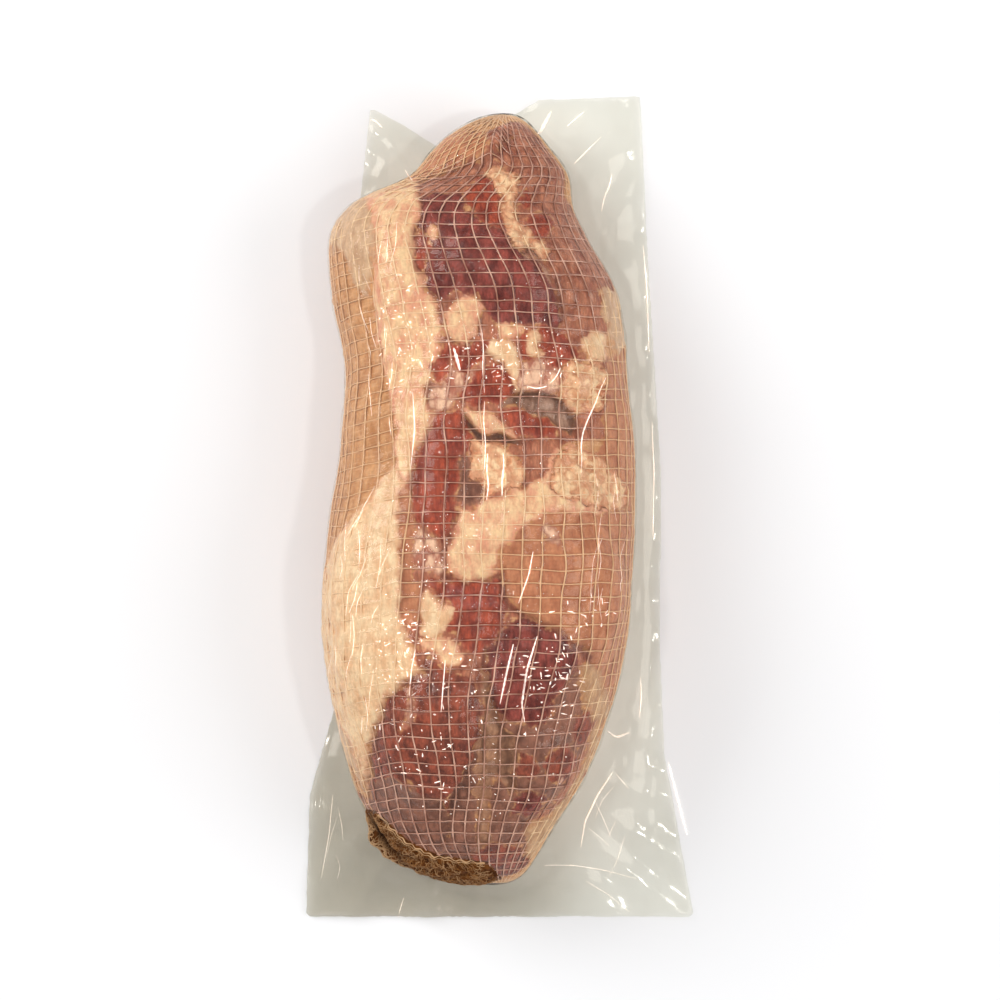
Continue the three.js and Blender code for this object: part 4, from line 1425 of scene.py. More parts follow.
# ---- Geometry Nodes: threads along paths -----------------
@dataclass
class ThreadTree:
    """Turns drawn paths into round threads whose girth follows the path's own girth values."""

    name: str = "threads_along_paths"
    tree: NodeTree = field(init=False)
    sockets: dict[str, str] = field(init=False, default_factory=dict)

    def __post_init__(self) -> None:
        """Build the tree."""
        self.tree = bpy.data.node_groups.new(self.name, "GeometryNodeTree")
        face = self.tree.interface
        face.new_socket("Geometry", in_out="OUTPUT", socket_type="NodeSocketGeometry")
        for label, kind in (("Geometry", "NodeSocketGeometry"), ("Radius", "NodeSocketFloat"),
                            ("Sides", "NodeSocketInt"), ("Wander", "NodeSocketFloat"),
                            ("Wander size", "NodeSocketFloat"),
                            ("Material", "NodeSocketMaterial")):
            self.sockets[label] = face.new_socket(label, in_out="INPUT",
                                                  socket_type=kind).identifier
        given = add_node(self.tree, "NodeGroupInput")
        noise = add_node(self.tree, "ShaderNodeTexNoise", {"noise_dimensions": "3D"}, {
            "Scale": given.outputs["Wander size"], "Detail": 1.0})
        centred = add_node(self.tree, "ShaderNodeVectorMath", {"operation": "SUBTRACT"}, {
            0: noise.outputs["Color"], 1: (0.5, 0.5, 0.5)})
        offset = add_node(self.tree, "ShaderNodeVectorMath", {"operation": "SCALE"}, {
            0: centred.outputs[0], "Scale": given.outputs["Wander"]})
        moved = add_node(self.tree, "GeometryNodeSetPosition", {}, {
            "Geometry": given.outputs["Geometry"], "Offset": offset.outputs[0]})
        paths = add_node(self.tree, "GeometryNodeMeshToCurve", {}, {0: moved.outputs[0]})
        girth = add_node(self.tree, "GeometryNodeInputNamedAttribute", {"data_type": "FLOAT"}, {
            "Name": "girth"})
        radius = add_node(self.tree, "ShaderNodeMath", {"operation": "MULTIPLY"}, {
            0: girth.outputs[0], 1: given.outputs["Radius"]})
        sized = add_node(self.tree, "GeometryNodeSetCurveRadius", {}, {
            "Curve": paths.outputs[0], "Radius": radius.outputs[0]})
        ring = add_node(self.tree, "GeometryNodeCurvePrimitiveCircle", {}, {
            "Resolution": given.outputs["Sides"], "Radius": 1.0})
        tube = add_node(self.tree, "GeometryNodeCurveToMesh", {}, {
            "Curve": sized.outputs[0], "Profile Curve": ring.outputs[0], "Fill Caps": True})
        # Blender's newer tube node takes the girth here, its older one from the curve.
        if "Scale" in tube.inputs:
            self.tree.links.new(radius.outputs[0], tube.inputs["Scale"])
        real = add_node(self.tree, "GeometryNodeRealizeInstances", {}, {0: tube.outputs[0]})
        dressed = add_node(self.tree, "GeometryNodeSetMaterial", {}, {
            "Geometry": real.outputs[0], "Material": given.outputs["Material"]})
        add_node(self.tree, "NodeGroupOutput", {}, {0: dressed.outputs[0]})

    def spin(self, name: str, paths: list[np.ndarray], girths: list[np.ndarray],
             material: Material, radius: float, sides: int = 5, closed: bool = False,
             wander: float = 0.0, wander_size: float = 200.0,
             values: dict[str, np.ndarray] | None = None) -> Object:
        """Make one piece of many threads.

        Args:
            name: The piece's name.
            paths: The places that each thread follows.
            girths: A share of the radius for each place.
            material: The threads' material.
            radius: Radius of a thread, in metres.
            sides: Sides of a thread.
            closed: Whether each thread joins its own start.
            wander: How far the threads stray, in metres.
            wander_size: How fast they stray, in turns a metre.
            values: More numbers for each place, by attribute name.

        Returns:
            The finished mesh object.
        """
        edges, start = [], 0
        for path in paths:
            count = len(path)
            edges += [(start + i, start + i + 1) for i in range(count - 1)]
            if closed:
                edges.append((start + count - 1, start))
            start += count
        piece = mesh_object(name, np.vstack(paths), [], edges=edges)
        set_values(piece, "girth", np.concatenate(girths))
        for label, numbers in (values or {}).items():
            set_values(piece, label, numbers)
        modifier = piece.modifiers.new("threads", "NODES")
        modifier.node_group = self.tree
        for label, value in (("Radius", radius), ("Sides", sides), ("Wander", wander),
                             ("Wander size", wander_size), ("Material", material)):
            modifier[self.sockets[label]] = value
        graph = bpy.context.evaluated_depsgraph_get()
        solid = bpy.data.meshes.new_from_object(piece.evaluated_get(graph))
        piece.modifiers.remove(modifier)
        old, piece.data = piece.data, solid
        solid.name = name
        bpy.data.meshes.remove(old)
        solid.shade_smooth()
        return piece


# ---- The pieces ------------------------------------------
def settle(piece: Object, slot: str, *nodes: str) -> None:
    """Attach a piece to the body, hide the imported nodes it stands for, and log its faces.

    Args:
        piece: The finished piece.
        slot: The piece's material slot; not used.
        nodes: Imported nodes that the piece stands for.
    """
    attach(piece, BODY)
    if nodes:
        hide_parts(*nodes)
    LOG.info("%s: %d faces", piece.name, len(piece.data.polygons))


@dataclass
class Meat:
    """The joint itself, pressed into small pillows by the net."""

    layout: NetLayout
    per_ring: int = 5
    per_thread: int = 7
    pillow: float = 0.6 * MM
    pillow_edge: float = 0.42
    flatter_in_fat: float = 0.75
    soft_edge: float = 4 * MM
    unevenness: float = 0.18 * MM
    foot: float = 3 * MM
    floor: float = 0.35 * MM
    # Depth at which a crease's painted shade is full.
    fully_shaded_crease: float = 3 * MM

    def build(self) -> Object:
        """Build and dress the meat.

        Returns:
            The meat.
        """
        grid = self.layout.grid(self.per_ring, self.per_thread)
        base = self.layout.at(grid[..., 0], grid[..., 1])
        face = CutFace(base)
        fat = np.clip(sum(face.share(tissue, self.soft_edge) for tissue in FATS), 0, 1)
        height = self._pillows(grid, base) * (1 - self.flatter_in_fat * fat.reshape(grid.shape[:2]))
        height += face.relief().reshape(height.shape)
        height += self.unevenness * Waves(51, 11 * MM).at(base)
        height *= np.clip(base[..., 2] / self.foot, 0, 1)
        points = base + surface_normals(base) * height[..., None]
        points[..., 2] = np.maximum(points[..., 2], self.floor)
        piece = wrapped_mesh("gammon_meat", points, self.layout.surface.ends, self.per_ring,
                             self.per_thread)
        for tissue in Tissue:
            set_values(piece, tissue.value, np.append(face.depths[tissue], [-face.fringe] * 2))
        # Painted shade: each crease is darkened by its depth.
        set_values(piece, "crease", np.append(face.creases / self.fully_shaded_crease, [0.0, 0.0]))
        set_values(piece, "fascia", np.append(face.fascia, [0.0, 0.0]))
        set_values(piece, "soft_fat", np.append(fat, [0.0, 0.0]))
        piece.data.materials.append(SmokedPork().make())
        settle(piece, "smoked_meat", "gammon_joint")
        return piece

    def _pillows(self, grid: np.ndarray, base: np.ndarray) -> np.ndarray:
        """Swell the meat between the threads and press it in under them.

        Args:
            grid: Net coordinates of every corner.
            base: The corners' places.

        Returns:
            Heights in metres.
        """
        from_ring = np.abs(grid[..., 0] - np.round(grid[..., 0]))
        from_thread = np.abs(grid[..., 1] - np.round(grid[..., 1]))
        swell = smooth_step(np.minimum(from_ring, from_thread * 1.2), 0.0, self.pillow_edge)
        uneven = 0.75 + 0.3 * np.clip(Waves(52, 25 * MM).at(base), -1.5, 1.5)
        return self.pillow * (swell - 0.5) * uneven


@dataclass
class ElasticNet:
    """The knitted net: lengthwise threads and the rings that cross them."""

    layout: NetLayout
    threads: ThreadTree
    per_cell: int = 3
    lengthwise_radius: float = 0.4 * MM
    ring_radius: float = 0.3 * MM
    lift: float = 0.06 * MM
    lengthwise_over: float = 0.1 * MM
    sunk_in_fat: float = 0.28 * MM
    wander: float = 0.42 * MM
    end_gap: float = 0.8
    tint_edge: float = 2 * MM
    deepest: float = -0.5 * MM
    lowest: float = 0.5 * MM
    step: float = 0.2
    bunched_rings: int = 12
    bunched_per_cell: int = 4
    bunched_over: float = 0.2 * MM
    bunched_lowest: float = 22 * MM
    bunched_girth: float = 0.75

    def build(self) -> None:
        """Lay the lengthwise threads, the rings and the bunched second layer."""
        layout = self.layout
        finish = NetThread("net_polyester", "#E2B29C", "#A46A56", "#F0CDA4", "#E6B98E").make()
        runs = np.linspace(self.end_gap, layout.rings - self.end_gap,
                           layout.rings * self.per_cell)
        # Each thread is thicker at its knots, and a little uneven along its way.
        knots = 1 - 2 * np.abs(runs - np.round(runs))
        girths = [0.85 + 0.35 * knots ** 2 + 0.12 * np.sin(runs * 2.3 + 1.7 * t)
                  for t in range(layout.threads)]
        threads, rings = np.meshgrid(np.arange(layout.threads), runs, indexing="ij")
        places, tints = self._lifted(rings, threads, self.lift + self.lengthwise_over)
        settle(self.threads.spin("net_lengthwise", list(places), girths, finish,
                                 self.lengthwise_radius, wander=self.wander, values=tints),
               "elastic_net")
        turns = np.arange(layout.threads * self.per_cell) / self.per_cell
        knots = 1 - 2 * np.abs(turns - np.round(turns))
        rings, threads = np.meshgrid(np.arange(1, layout.rings), turns, indexing="ij")
        places, tints = self._lifted(rings, threads, self.lift)
        settle(self.threads.spin("net_rings", list(places),
                                 [0.8 + 0.4 * knots ** 2] * len(places), finish,
                                 self.ring_radius, closed=True, wander=self.wander,
                                 values=tints), "elastic_net")
        settle(self._bunched(finish), "elastic_net")

    def _bunched(self, finish: Material) -> Object:
        """Lay the second layer of net that is bunched over the shank's cap.

        Args:
            finish: The threads' material.

        Returns:
            The threads.
        """
        last = self.layout.rings
        turns = np.linspace(0, self.layout.threads,
                            self.layout.threads * self.bunched_per_cell + 1)
        paths, fats, rinds = [], [], []
        for ring in range(last - self.bunched_rings, last - 1):
            places, tints = self._lifted(np.full(len(turns), ring + 0.5), turns,
                                         self.lift + self.bunched_over)
            inside = signed_distance(on_plan(places), CAP) > 0
            inside &= places[:, 2] > self.bunched_lowest
            cuts = np.flatnonzero(np.diff(np.concatenate([[0], inside.astype(int), [0]])))
            for start, stop in zip(cuts[::2], cuts[1::2]):
                if stop - start >= self.bunched_per_cell:
                    paths.append(places[start:stop])
                    fats.append(tints["over_fat"][start:stop])
                    rinds.append(tints["over_rind_and_hollow_shade"][start:stop])
        girths = [np.full(len(path), self.bunched_girth) for path in paths]
        return self.threads.spin("net_bunched", paths, girths, finish, self.ring_radius,
                                 wander=self.wander,
                                 values={"over_fat": np.concatenate(fats),
                                         "over_rind_and_hollow_shade": np.concatenate(rinds)})

    def _lifted(self, ring: np.ndarray, thread: np.ndarray, lift: float
                ) -> tuple[np.ndarray, dict[str, np.ndarray]]:
        """Raise places off the meat, over its lumps and across its creases.

        Args:
            ring: Ring numbers.
            thread: Thread numbers.
            lift: How far.

        Returns:
            Places just over the meat, and how much fat or rind shines through the thread there.
        """
        step, layout = self.step, self.layout
        here = layout.at(ring, thread)
        along = layout.at(ring + step, thread) - layout.at(ring - step, thread)
        around = layout.at(ring, thread + step) - layout.at(ring, thread - step)
        normal = np.cross(around, along)
        normal /= np.maximum(np.linalg.norm(normal, axis=-1, keepdims=True), 1e-12)
        centre = layout.surface.even.mean(axis=(0, 1))
        if np.sum(normal * (here - centre)) < 0:
            normal = -normal
        face = CutFace(here)
        fat = np.clip(sum(face.share(tissue, self.tint_edge) for tissue in FATS), 0, 1)
        lump = np.maximum(face.rises, self.deepest) - self.sunk_in_fat * fat
        raised = here + normal * (lift + lump.reshape(ring.shape))[..., None]
        raised[..., 2] = np.maximum(raised[..., 2], self.lowest)
        meat = sum(face.share(tissue, self.tint_edge) for tissue in Tissue
                   if tissue is not Tissue.RUMP)
        return raised, {"over_fat": fat, "over_rind_and_hollow_shade": 1 - np.clip(meat, 0, 1)}


@dataclass
class FilmSkin:
    """The film that clings to the netted meat and bridges its hollows."""

    form: MeatForm
    layout: NetLayout
    meat_tree: BVHTree
    clearance: float = 0.45 * MM
    per_ring: int = 5
    per_thread: int = 5
    bridge: float = 7 * MM
    lift: float = 0.75 * MM
    tent: float = 0.55 * MM
    tent_edge: float = 0.35
    billow: float = 0.25 * MM
    end_gap: float = 1.2 * MM

    def build(self) -> Object:
        """Build and dress the clinging film.

        Returns:
            The film.
        """
        wide = WrappedSurface(self.form.points(self.form.bridged(self.bridge)), self.form.ends)
        over = NetLayout(wide, self.layout.threads)
        over.rings = self.layout.rings
        over.ring_shift, over.thread_shift = self.layout.ring_shift, self.layout.thread_shift
        grid = over.grid(self.per_ring, self.per_thread)
        base = over.at(grid[..., 0], grid[..., 1])
        from_ring = np.abs(grid[..., 0] - np.round(grid[..., 0]))
        from_thread = np.abs(grid[..., 1] - np.round(grid[..., 1]))
        near = 1 - smooth_step(np.minimum(from_ring, from_thread), 0.0, self.tent_edge)
        height = self.lift + self.tent * near + self.billow * Waves(61, 16 * MM).at(base)
        height = np.maximum(height, self.clearance)
        points = base + surface_normals(base) * height[..., None]
        self._clear_meat(points)
        points[..., 2] = np.maximum(points[..., 2], 0.0)
        ends = wide.ends + np.array([[0, -self.end_gap, 0], [0, self.end_gap, 0]])
        piece = wrapped_mesh("film_skin", points, ends, self.per_ring, self.per_thread)
        piece.data.materials.append(VacuumFilm("film_over_net", haze_and_highlight=0.015,
                                               follows_net=True).make())
        # Clear film this thin casts next to no shadow on what it touches.
        piece.visible_shadow = False
        settle(piece, "clear_film")
        return piece

    def _clear_meat(self, points: np.ndarray) -> None:
        """Move the film out where the meat would show through it.

        Args:
            points: The film's places, which are changed.
        """
        for spot in points.reshape(-1, 3):
            near, way, _, _ = self.meat_tree.find_nearest(Vector(spot))
            out = (Vector(spot) - near).dot(way)
            if out < self.clearance:
                spot += np.array(way) * (self.clearance - out)


@dataclass
class FilmMargin:
    """The loose margin of the bag, two layers welded along their edge."""

    node: str = "vacuum_bag"
    low: float = -115.75 * MM
    high: float = 114.25 * MM
    middle: float = -10 * MM
    spacing: float = 2.2 * MM
    end_radius: float = 110 * MM
    across: int = 26
    thickness: float = 0.5 * MM
    sink: float = 0.6 * MM
    fold: float = 0.55 * MM
    crinkle: float = 0.12 * MM
    slack: float = 0.15 * MM
    tuck: float = 1.6 * MM
    nearest: float = 20 * MM
    farthest: float = 150 * MM
    step: float = 0.5 * MM
    above: float = 200 * MM
    fold_stretch: float = 0.16
    # Painted shade: where and how far the margin is greyed, for the shadow below the joint's end.
    shaded_corner: tuple[float, float] = (410.0, 905.0)
    shade_reach: tuple[float, float] = (20 * MM, 105 * MM)

    def _spokes(self) -> list[tuple[Vector, Vector]]:
        """Lay out directions all round the meat.

        Returns:
            A start point and a direction for each.
        """
        spokes = []
        straight = round((self.high - self.low) / self.spacing)
        fan = round(math.pi * self.end_radius / self.spacing)
        for side, start, stop in ((1, self.low, self.high), (-1, self.high, self.low)):
            for k in range(straight):
                y = start + (stop - start) * k / straight
                spokes.append((Vector((self.middle, y, 0)), Vector((side, 0, 0))))
            for k in range(fan):
                turn = math.pi * k / fan + (0.0 if side > 0 else math.pi)
                spokes.append((Vector((self.middle, stop, 0)),
                               Vector((math.cos(turn), math.sin(turn), 0))))
        return spokes

    def _measured(self) -> np.ndarray:
        """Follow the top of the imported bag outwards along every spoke.

        Returns:
            A table of places, spoke by spoke, from the meat to the weld.
        """
        tree, down = search_tree(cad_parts[self.node]), Vector((0, 0, -1))
        shares = np.linspace(0, 1, self.across)
        rows = []
        for start, way in self._spokes():
            reach, heights = self.farthest, {}
            while reach > self.nearest:
                spot = start + way * reach
                hit = tree.ray_cast(Vector((spot.x, spot.y, self.above)), down)
                if hit[0]:
                    heights[reach] = hit[0].z
                elif heights:
                    break
                reach -= self.step
            places = np.array(sorted(heights))
            radii = places[0] + (places[-1] - places[0]) * shares
            height = np.interp(radii, places, np.array([heights[p] for p in places]))
            radii[0] -= self.tuck
            rows.append(np.stack([start.x + way.x * radii, start.y + way.y * radii, height],
                                 axis=1))
        return np.array(rows)

    def _lift(self, top: np.ndarray) -> np.ndarray:
        """Work out how high the film's folds stand.

        Args:
            top: The places of the upper layer.

        Returns:
            Heights in metres.
        """
        shares = np.linspace(0, 1, self.across)
        loose = smooth_step(shares, 0.03, 0.35) * (1 - 0.5 * smooth_step(shares, 0.85, 1.0))
        # Past the ends the folds fan out from the meat; beside it they run straight out.
        ways = np.array([abs(way.y) for _, way in self._spokes()])[:, None]
        offset = top - np.array([self.middle, 0, 0])
        offset[..., 1] -= np.clip(offset[..., 1], self.low, self.high)
        outward = np.linalg.norm(offset[..., :2], axis=-1)
        bearing = np.arctan2(offset[..., 1], offset[..., 0])
        rays = np.stack([bearing * 90 * MM, outward * self.fold_stretch, 0 * outward], axis=-1)
        strips = top * np.array([1, self.fold_stretch, 0])
        at_end = smooth_step(ways, 0.25, 0.75)
        fold = (at_end * Waves(71, 15 * MM, 12).at(rays)
                + (1 - at_end) * Waves(73, 11 * MM, 12).at(strips))
        crinkle = Waves(72, 9 * MM).at(top * np.array([1, 1, 0]))
        lift = (self.fold * np.maximum(fold, -0.3) ** 2 * np.sign(fold)
                + self.crinkle * crinkle + self.slack)
        return np.maximum(lift, 0) * loose[None]

    def build(self) -> Object:
        """Build and dress the margin.

        Returns:
            The margin.
        """
        top = self._measured()
        for _ in range(3):
            top[:, 1:-1, 2] = (top[:, :-2, 2] + 2 * top[:, 1:-1, 2] + top[:, 2:, 2]) / 4
            top[..., 2] = (np.roll(top[..., 2], 1, 0) + 2 * top[..., 2]
                           + np.roll(top[..., 2], -1, 0)) / 4
        top[..., 2] = np.maximum(top[..., 2] - self.sink, self.thickness)
        top[..., 2] += self._lift(top)
        under = top - np.array([0, 0, self.thickness])
        loop = np.concatenate([top, under[:, ::-1]], axis=1)
        around, across = loop.shape[:2]
        faces = []
        for k in range(around):
            n = (k + 1) % around
            for j in range(across):
                m = (j + 1) % across
                faces.append((k * across + j, k * across + m, n * across + m, n * across + j))
        piece = mesh_object("film_margin", loop, faces)
        face_outwards(piece)
        foot = loop[..., :2] - on_table(np.array([self.shaded_corner]))
        far = np.linalg.norm(foot * np.array([1.0, 0.6]), axis=-1)
        set_values(piece, "margin_shade", 1 - smooth_step(far, *self.shade_reach))
        piece.data.materials.append(VacuumFilm(
            "film_margin_double", haze_and_highlight=0.05, haze_and_highlight_colour="#B2AA9A", painted_margin_shade=0.33,
            clear_colour="#FDFDFA", wrinkle=24 * MM, wrinkle_height=0.7 * MM, fine=7 * MM,
            fine_height=0.15 * MM, roughness=0.12).make())
        settle(piece, "clear_film", self.node)
        return piece


def oval(side: float, rise: float, at: tuple[float, float], size: tuple[float, float]) -> float:
    """Fade from 1 at the middle of an oval to 0 outside it, on a net of two angles."""
    return math.exp(-((side - at[0]) / size[0]) ** 2 - ((rise - at[1]) / size[1]) ** 2)


@dataclass
class NetGather:
    """The bunched brown end of the net at the lower left corner.

    It is laid out in two angles round the heart of the joint, in degrees: side, from straight
    down the plan to the left, and rise, from level upwards.
    """

    form_tree: BVHTree
    threads: ThreadTree
    heart: tuple[float, float, float] = (-25 * MM, -145.75 * MM, 38 * MM)
    middle: float = 25.0
    half_span: float = 58.0
    low: float = -9.0
    high: float = 46.0
    end_share: float = 0.4
    thickness: float = 4.4 * MM
    back_depth: tuple[float, float] = (0.6 * MM, 4.0 * MM)
    clearance: float = 0.2 * MM
    gather_height: float = 0.25 * MM
    fold_height: float = 0.45 * MM
    lip_at: float = 60.0
    lip_size: tuple[float, float] = (19.0, 7.0)
    lip_rise: float = 6.0 * MM
    pale_lip: tuple[float, float] = (32.0, 9.0)
    hollow_at: tuple[float, float] = (60.0, 21.0)
    hollow_size: tuple[float, float] = (17.0, 5.0)
    hollow_depth: float = 5.0 * MM
    # Size of the painted shade in the hollow.
    dark_hollow: tuple[float, float] = (19.0, 6.5)
    columns: int = 170
    rows: int = 50
    strand_count: int = 720
    strand_radius: float = 0.17 * MM
    strand_stride: tuple[float, float] = (0.0045, 0.017)
    hems: tuple[tuple[float, float], ...] = ((0.985, 2.2), (0.955, 1.3))
    seed: int = 81

    def _direction(self, side: float, rise: float) -> Vector:
        """Turn two angles in degrees into a direction."""
        a, b = math.radians(side), math.radians(rise)
        return Vector((-math.sin(a) * math.cos(b), -math.cos(a) * math.cos(b), math.sin(b)))

    def _place(self, across: float, up: float, lift: float) -> Vector:
        """Find a place on the pad.

        Args:
            across: Share of the way from its right end to its left end.
            up: Share of the way from its lower rim to its upper rim.
            lift: Extra height over the pad's own surface, in metres.

        Returns:
            The place.
        """
        side = self.middle + self.half_span * (2 * across - 1)
        bulge = math.sqrt(max(0.0, math.sin(math.pi * across)))
        share = 0.5 + (up - 0.5) * (self.end_share + (1 - self.end_share) * bulge)
        rise = self.low + (self.high - self.low) * share
        way = self._direction(side, rise)
        start = Vector(self.heart)
        hit = self.form_tree.ray_cast(start, way)
        dome = bulge * math.sqrt(max(0.0, math.sin(math.pi * up)))
        gather = math.sin(0.55 * side + 2.2 * math.sin(0.11 * rise + 0.05 * side))
        fold = math.sin(0.48 * rise + 0.23 * side + 1.3)
        frill = 5.0 + 2.5 * math.sin(0.33 * side)
        height = (self.thickness + self.gather_height * gather + self.fold_height * fold
                  + self.lip_rise * oval(side, rise, (self.lip_at, frill), self.lip_size)
                  - self.hollow_depth * oval(side, rise, self.hollow_at, self.hollow_size))
        return start + way * (hit[3] + self.clearance + height * dome + lift)

    def _marks(self, across: float, up: float) -> tuple[float, float]:
        """Say how near a place is to the pale lip and to the hollow's painted shade.

        Args:
            across: Share of the way from its right end to its left end.
            up: Share of the way from its lower rim to its upper rim.

        Returns:
            Two numbers from 0 to 1.
        """
        side = self.middle + self.half_span * (2 * across - 1)
        rise = self.low + (self.high - self.low) * up
        lip = oval(side, rise, (self.lip_at, 7.0), self.pale_lip)
        hollow = oval(side, rise, self.hollow_at, self.dark_hollow)
        return lip, min(1.0, 1.3 * hollow)

    def build(self) -> None:
        """Build and dress the pad and the threads on it."""
        front, back, depth = [], [], []
        least, more = self.back_depth
        for c in range(self.columns + 1):
            for r in range(self.rows + 1):
                across, up = c / self.columns, r / self.rows
                place = self._place(across, up, 0.0)
                inward = (Vector(self.heart) - place).normalized()
                dome = math.sqrt(max(0.0, math.sin(math.pi * across) * math.sin(math.pi * up)))
                front.append(place)
                back.append(place + inward * (least + more * dome))
                depth.append(self._marks(across, up)[1])
        points = np.array([tuple(p) for p in front + back])
        pad = mesh_object("net_gather", points, self._pad_faces(len(front)))
        face_outwards(pad)
        # Painted shade: the hollow's share darkens the pad there.
        set_values(pad, "over_rind_and_hollow_shade", np.array(depth + depth))
        set_values(pad, "over_fat", np.zeros(len(points)))
        # Its last colour, nearly black, is the painted shade in the hollow.
        pad.data.materials.append(NetThread("net_gathered_ground", "#70421E", "#40220E",
                                            "#70421E", "#1E0E06", 4 * MM, 0.0, 0.03).make())
        settle(pad, "elastic_net", "net_tail")
        settle(self._strands(), "elastic_net")

    def _pad_faces(self, shift: int) -> list[tuple[int, ...]]:
        """Join the pad's front and back and close its rim.

        Args:
            shift: How many corners the front has.

        Returns:
            Corner numbers of each face.
        """
        height = self.rows + 1
        faces = []
        for c in range(self.columns):
            for r in range(self.rows):
                a = c * height + r
                faces.append((a, a + height, a + height + 1, a + 1))
                faces.append((a + shift, a + 1 + shift, a + height + 1 + shift,
                              a + height + shift))
        rim = [c * height for c in range(self.columns)]
        rim += [self.columns * height + r for r in range(self.rows)]
        rim += [c * height + self.rows for c in range(self.columns, 0, -1)]
        rim += list(range(self.rows, 0, -1))
        for a, b in zip(rim, rim[1:] + rim[:1]):
            faces.append((b, a, a + shift, b + shift))
        return faces

    def _strands(self) -> Object:
        """Lay crumpled threads over the pad, and hems along its upper rim.

        Returns:
            The threads.
        """
        draw = np.random.default_rng(self.seed)
        paths, girths, pale, hollow_shades = [], [], [], []
        for number in range(self.strand_count):
            across, up = draw.uniform(0.02, 0.95), draw.uniform(0.04, 0.96)
            heading = (1.0, -1.0, 0.15)[number % 3] * draw.uniform(0.7, 1.2)
            swing, phase = draw.uniform(0.4, 1.0), draw.uniform(0, math.tau)
            lift = draw.uniform(0.05, 0.4) * MM
            path, own, marks = [], draw.uniform(0.0, 0.9) ** 2, []
            for step in range(draw.integers(10, 24)):
                if not (0.01 < across < 0.99 and 0.02 < up < 0.98):
                    break
                path.append(tuple(self._place(across, up, lift)))
                marks.append(self._marks(across, up))
                turn = heading + swing * math.sin(0.9 * step + phase)
                across += self.strand_stride[0] * math.cos(turn)
                up += self.strand_stride[1] * math.sin(turn)
            if len(path) < 2:
                continue
            paths.append(np.array(path))
            girths.append(np.full(len(path), draw.uniform(0.7, 1.25)))
            pale += [max(own, on_lip) for on_lip, _ in marks]
            hollow_shades += [in_hollow for _, in_hollow in marks]
        for up, girth in self.hems:
            shares = np.linspace(0.03, 0.97, 121)
            paths.append(np.array([tuple(self._place(across, up + 0.01 * math.sin(71 * across),
                                                     0.3 * MM)) for across in shares]))
            girths.append(girth * (0.8 + 0.3 * np.sin(shares * 47)))
            pale += [1.0] * len(shares)
            hollow_shades += [0.0] * len(shares)
        # Its last colour, nearly black, is the painted shade in the hollow.
        finish = NetThread("net_gathered_thread", "#9A6636", "#5C341A", "#D0A87E", "#2A140A",
                           5 * MM, 0.0, 0.05).make()
        return self.threads.spin("net_gather_strands", paths, girths, finish,
                                 self.strand_radius, 4, values={"over_fat": np.array(pale),
                                                                "over_rind_and_hollow_shade": np.array(hollow_shades)})


@dataclass(frozen=True)
class Crease:
    """One ridge of the film, drawn on the plan, with its width in metres."""

    path: Outline
    width: float


@dataclass(frozen=True)
class GlintZone:
    """An oval on the plan where film stands off the net in short ridges of painted highlight."""

    centre: tuple[float, float]
    half: tuple[float, float]
    count: int
    length: tuple[float, float] = (1.0 * MM, 3.4 * MM)
    width: tuple[float, float] = (0.4 * MM, 1.1 * MM)
    headings: tuple[float, ...] = (0.1, math.pi / 2)
    scatter: float = 0.35


# Sizes of glint specks and of long wrinkle glints, all painted highlights.
GLINT_SPECK_LENGTH = (0.5 * MM, 1.2 * MM)
GLINT_SPECK_WIDTH = (0.4 * MM, 0.8 * MM)
WRINKLE_GLINT_LENGTH = (7 * MM, 24 * MM)
WRINKLE_GLINT_WIDTH = (0.16 * MM, 0.32 * MM)
CREASES: tuple[Crease, ...] = (
    Crease(((604, 380), (598, 392), (594, 404), (587, 419), (581, 434), (579, 448), (580, 460),
            (579, 474)), 0.9 * MM),
    Crease(((482, 334), (484, 350), (483, 372), (485, 396)), 0.55 * MM),
    Crease(((485, 404), (484, 425), (486, 444), (485, 470)), 0.6 * MM),
    Crease(((488, 455), (487, 470), (489, 486), (487, 500)), 0.9 * MM),
    Crease(((503, 454), (504, 466), (502, 482), (502, 496)), 1.1 * MM),
    Crease(((513, 640), (507, 665), (500, 698)), 1.3 * MM),
    Crease(((536, 632), (526, 665), (521, 698), (524, 716)), 1.3 * MM),
    Crease(((455, 352), (458, 362), (461, 374)), 2.0 * MM),
    Crease(((418, 645), (414, 665), (412, 690)), 0.8 * MM),
    Crease(((532, 550), (528, 572), (518, 600)), 0.9 * MM),
    Crease(((447, 655), (445, 680), (443, 705)), 0.8 * MM),
    Crease(((415, 395), (417, 430), (413, 470)), 0.8 * MM),
    Crease(((526, 389), (536, 392), (546, 389)), 0.8 * MM),
    Crease(((549, 386), (555, 380), (559, 371)), 0.7 * MM),
    Crease(((538, 133), (544, 120), (552, 104)), 2.2 * MM),
    Crease(((568, 120), (577, 111), (586, 104)), 1.2 * MM),
    Crease(((575, 160), (588, 146), (603, 130)), 0.7 * MM),
    Crease(((603, 207), (606, 192), (611, 182), (614, 168)), 1.1 * MM),
    Crease(((369, 112), (374, 114), (380, 121)), 1.2 * MM),
    Crease(((404, 166), (408, 174), (413, 183)), 1.0 * MM),
    Crease(((642, 722), (644, 700), (643, 680)), 0.9 * MM),
    Crease(((608, 733), (618, 741), (632, 736)), 1.5 * MM),
    Crease(((582, 852), (586, 826), (598, 800), (614, 776)), 1.1 * MM),
    Crease(((545, 870), (575, 871), (605, 877), (640, 886)), 0.4 * MM),
    Crease(((588, 888), (610, 902), (632, 920)), 0.4 * MM),
    Crease(((672, 768), (680, 800), (691, 842)), 1.0 * MM),
    Crease(((646, 240), (650, 290), (652, 350)), 0.9 * MM),
    Crease(((655, 420), (657, 470), (656, 540)), 0.8 * MM),
    Crease(((330, 800), (326, 840), (318, 885)), 0.45 * MM),
    Crease(((402, 905), (398, 918), (396, 926)), 0.5 * MM),
)
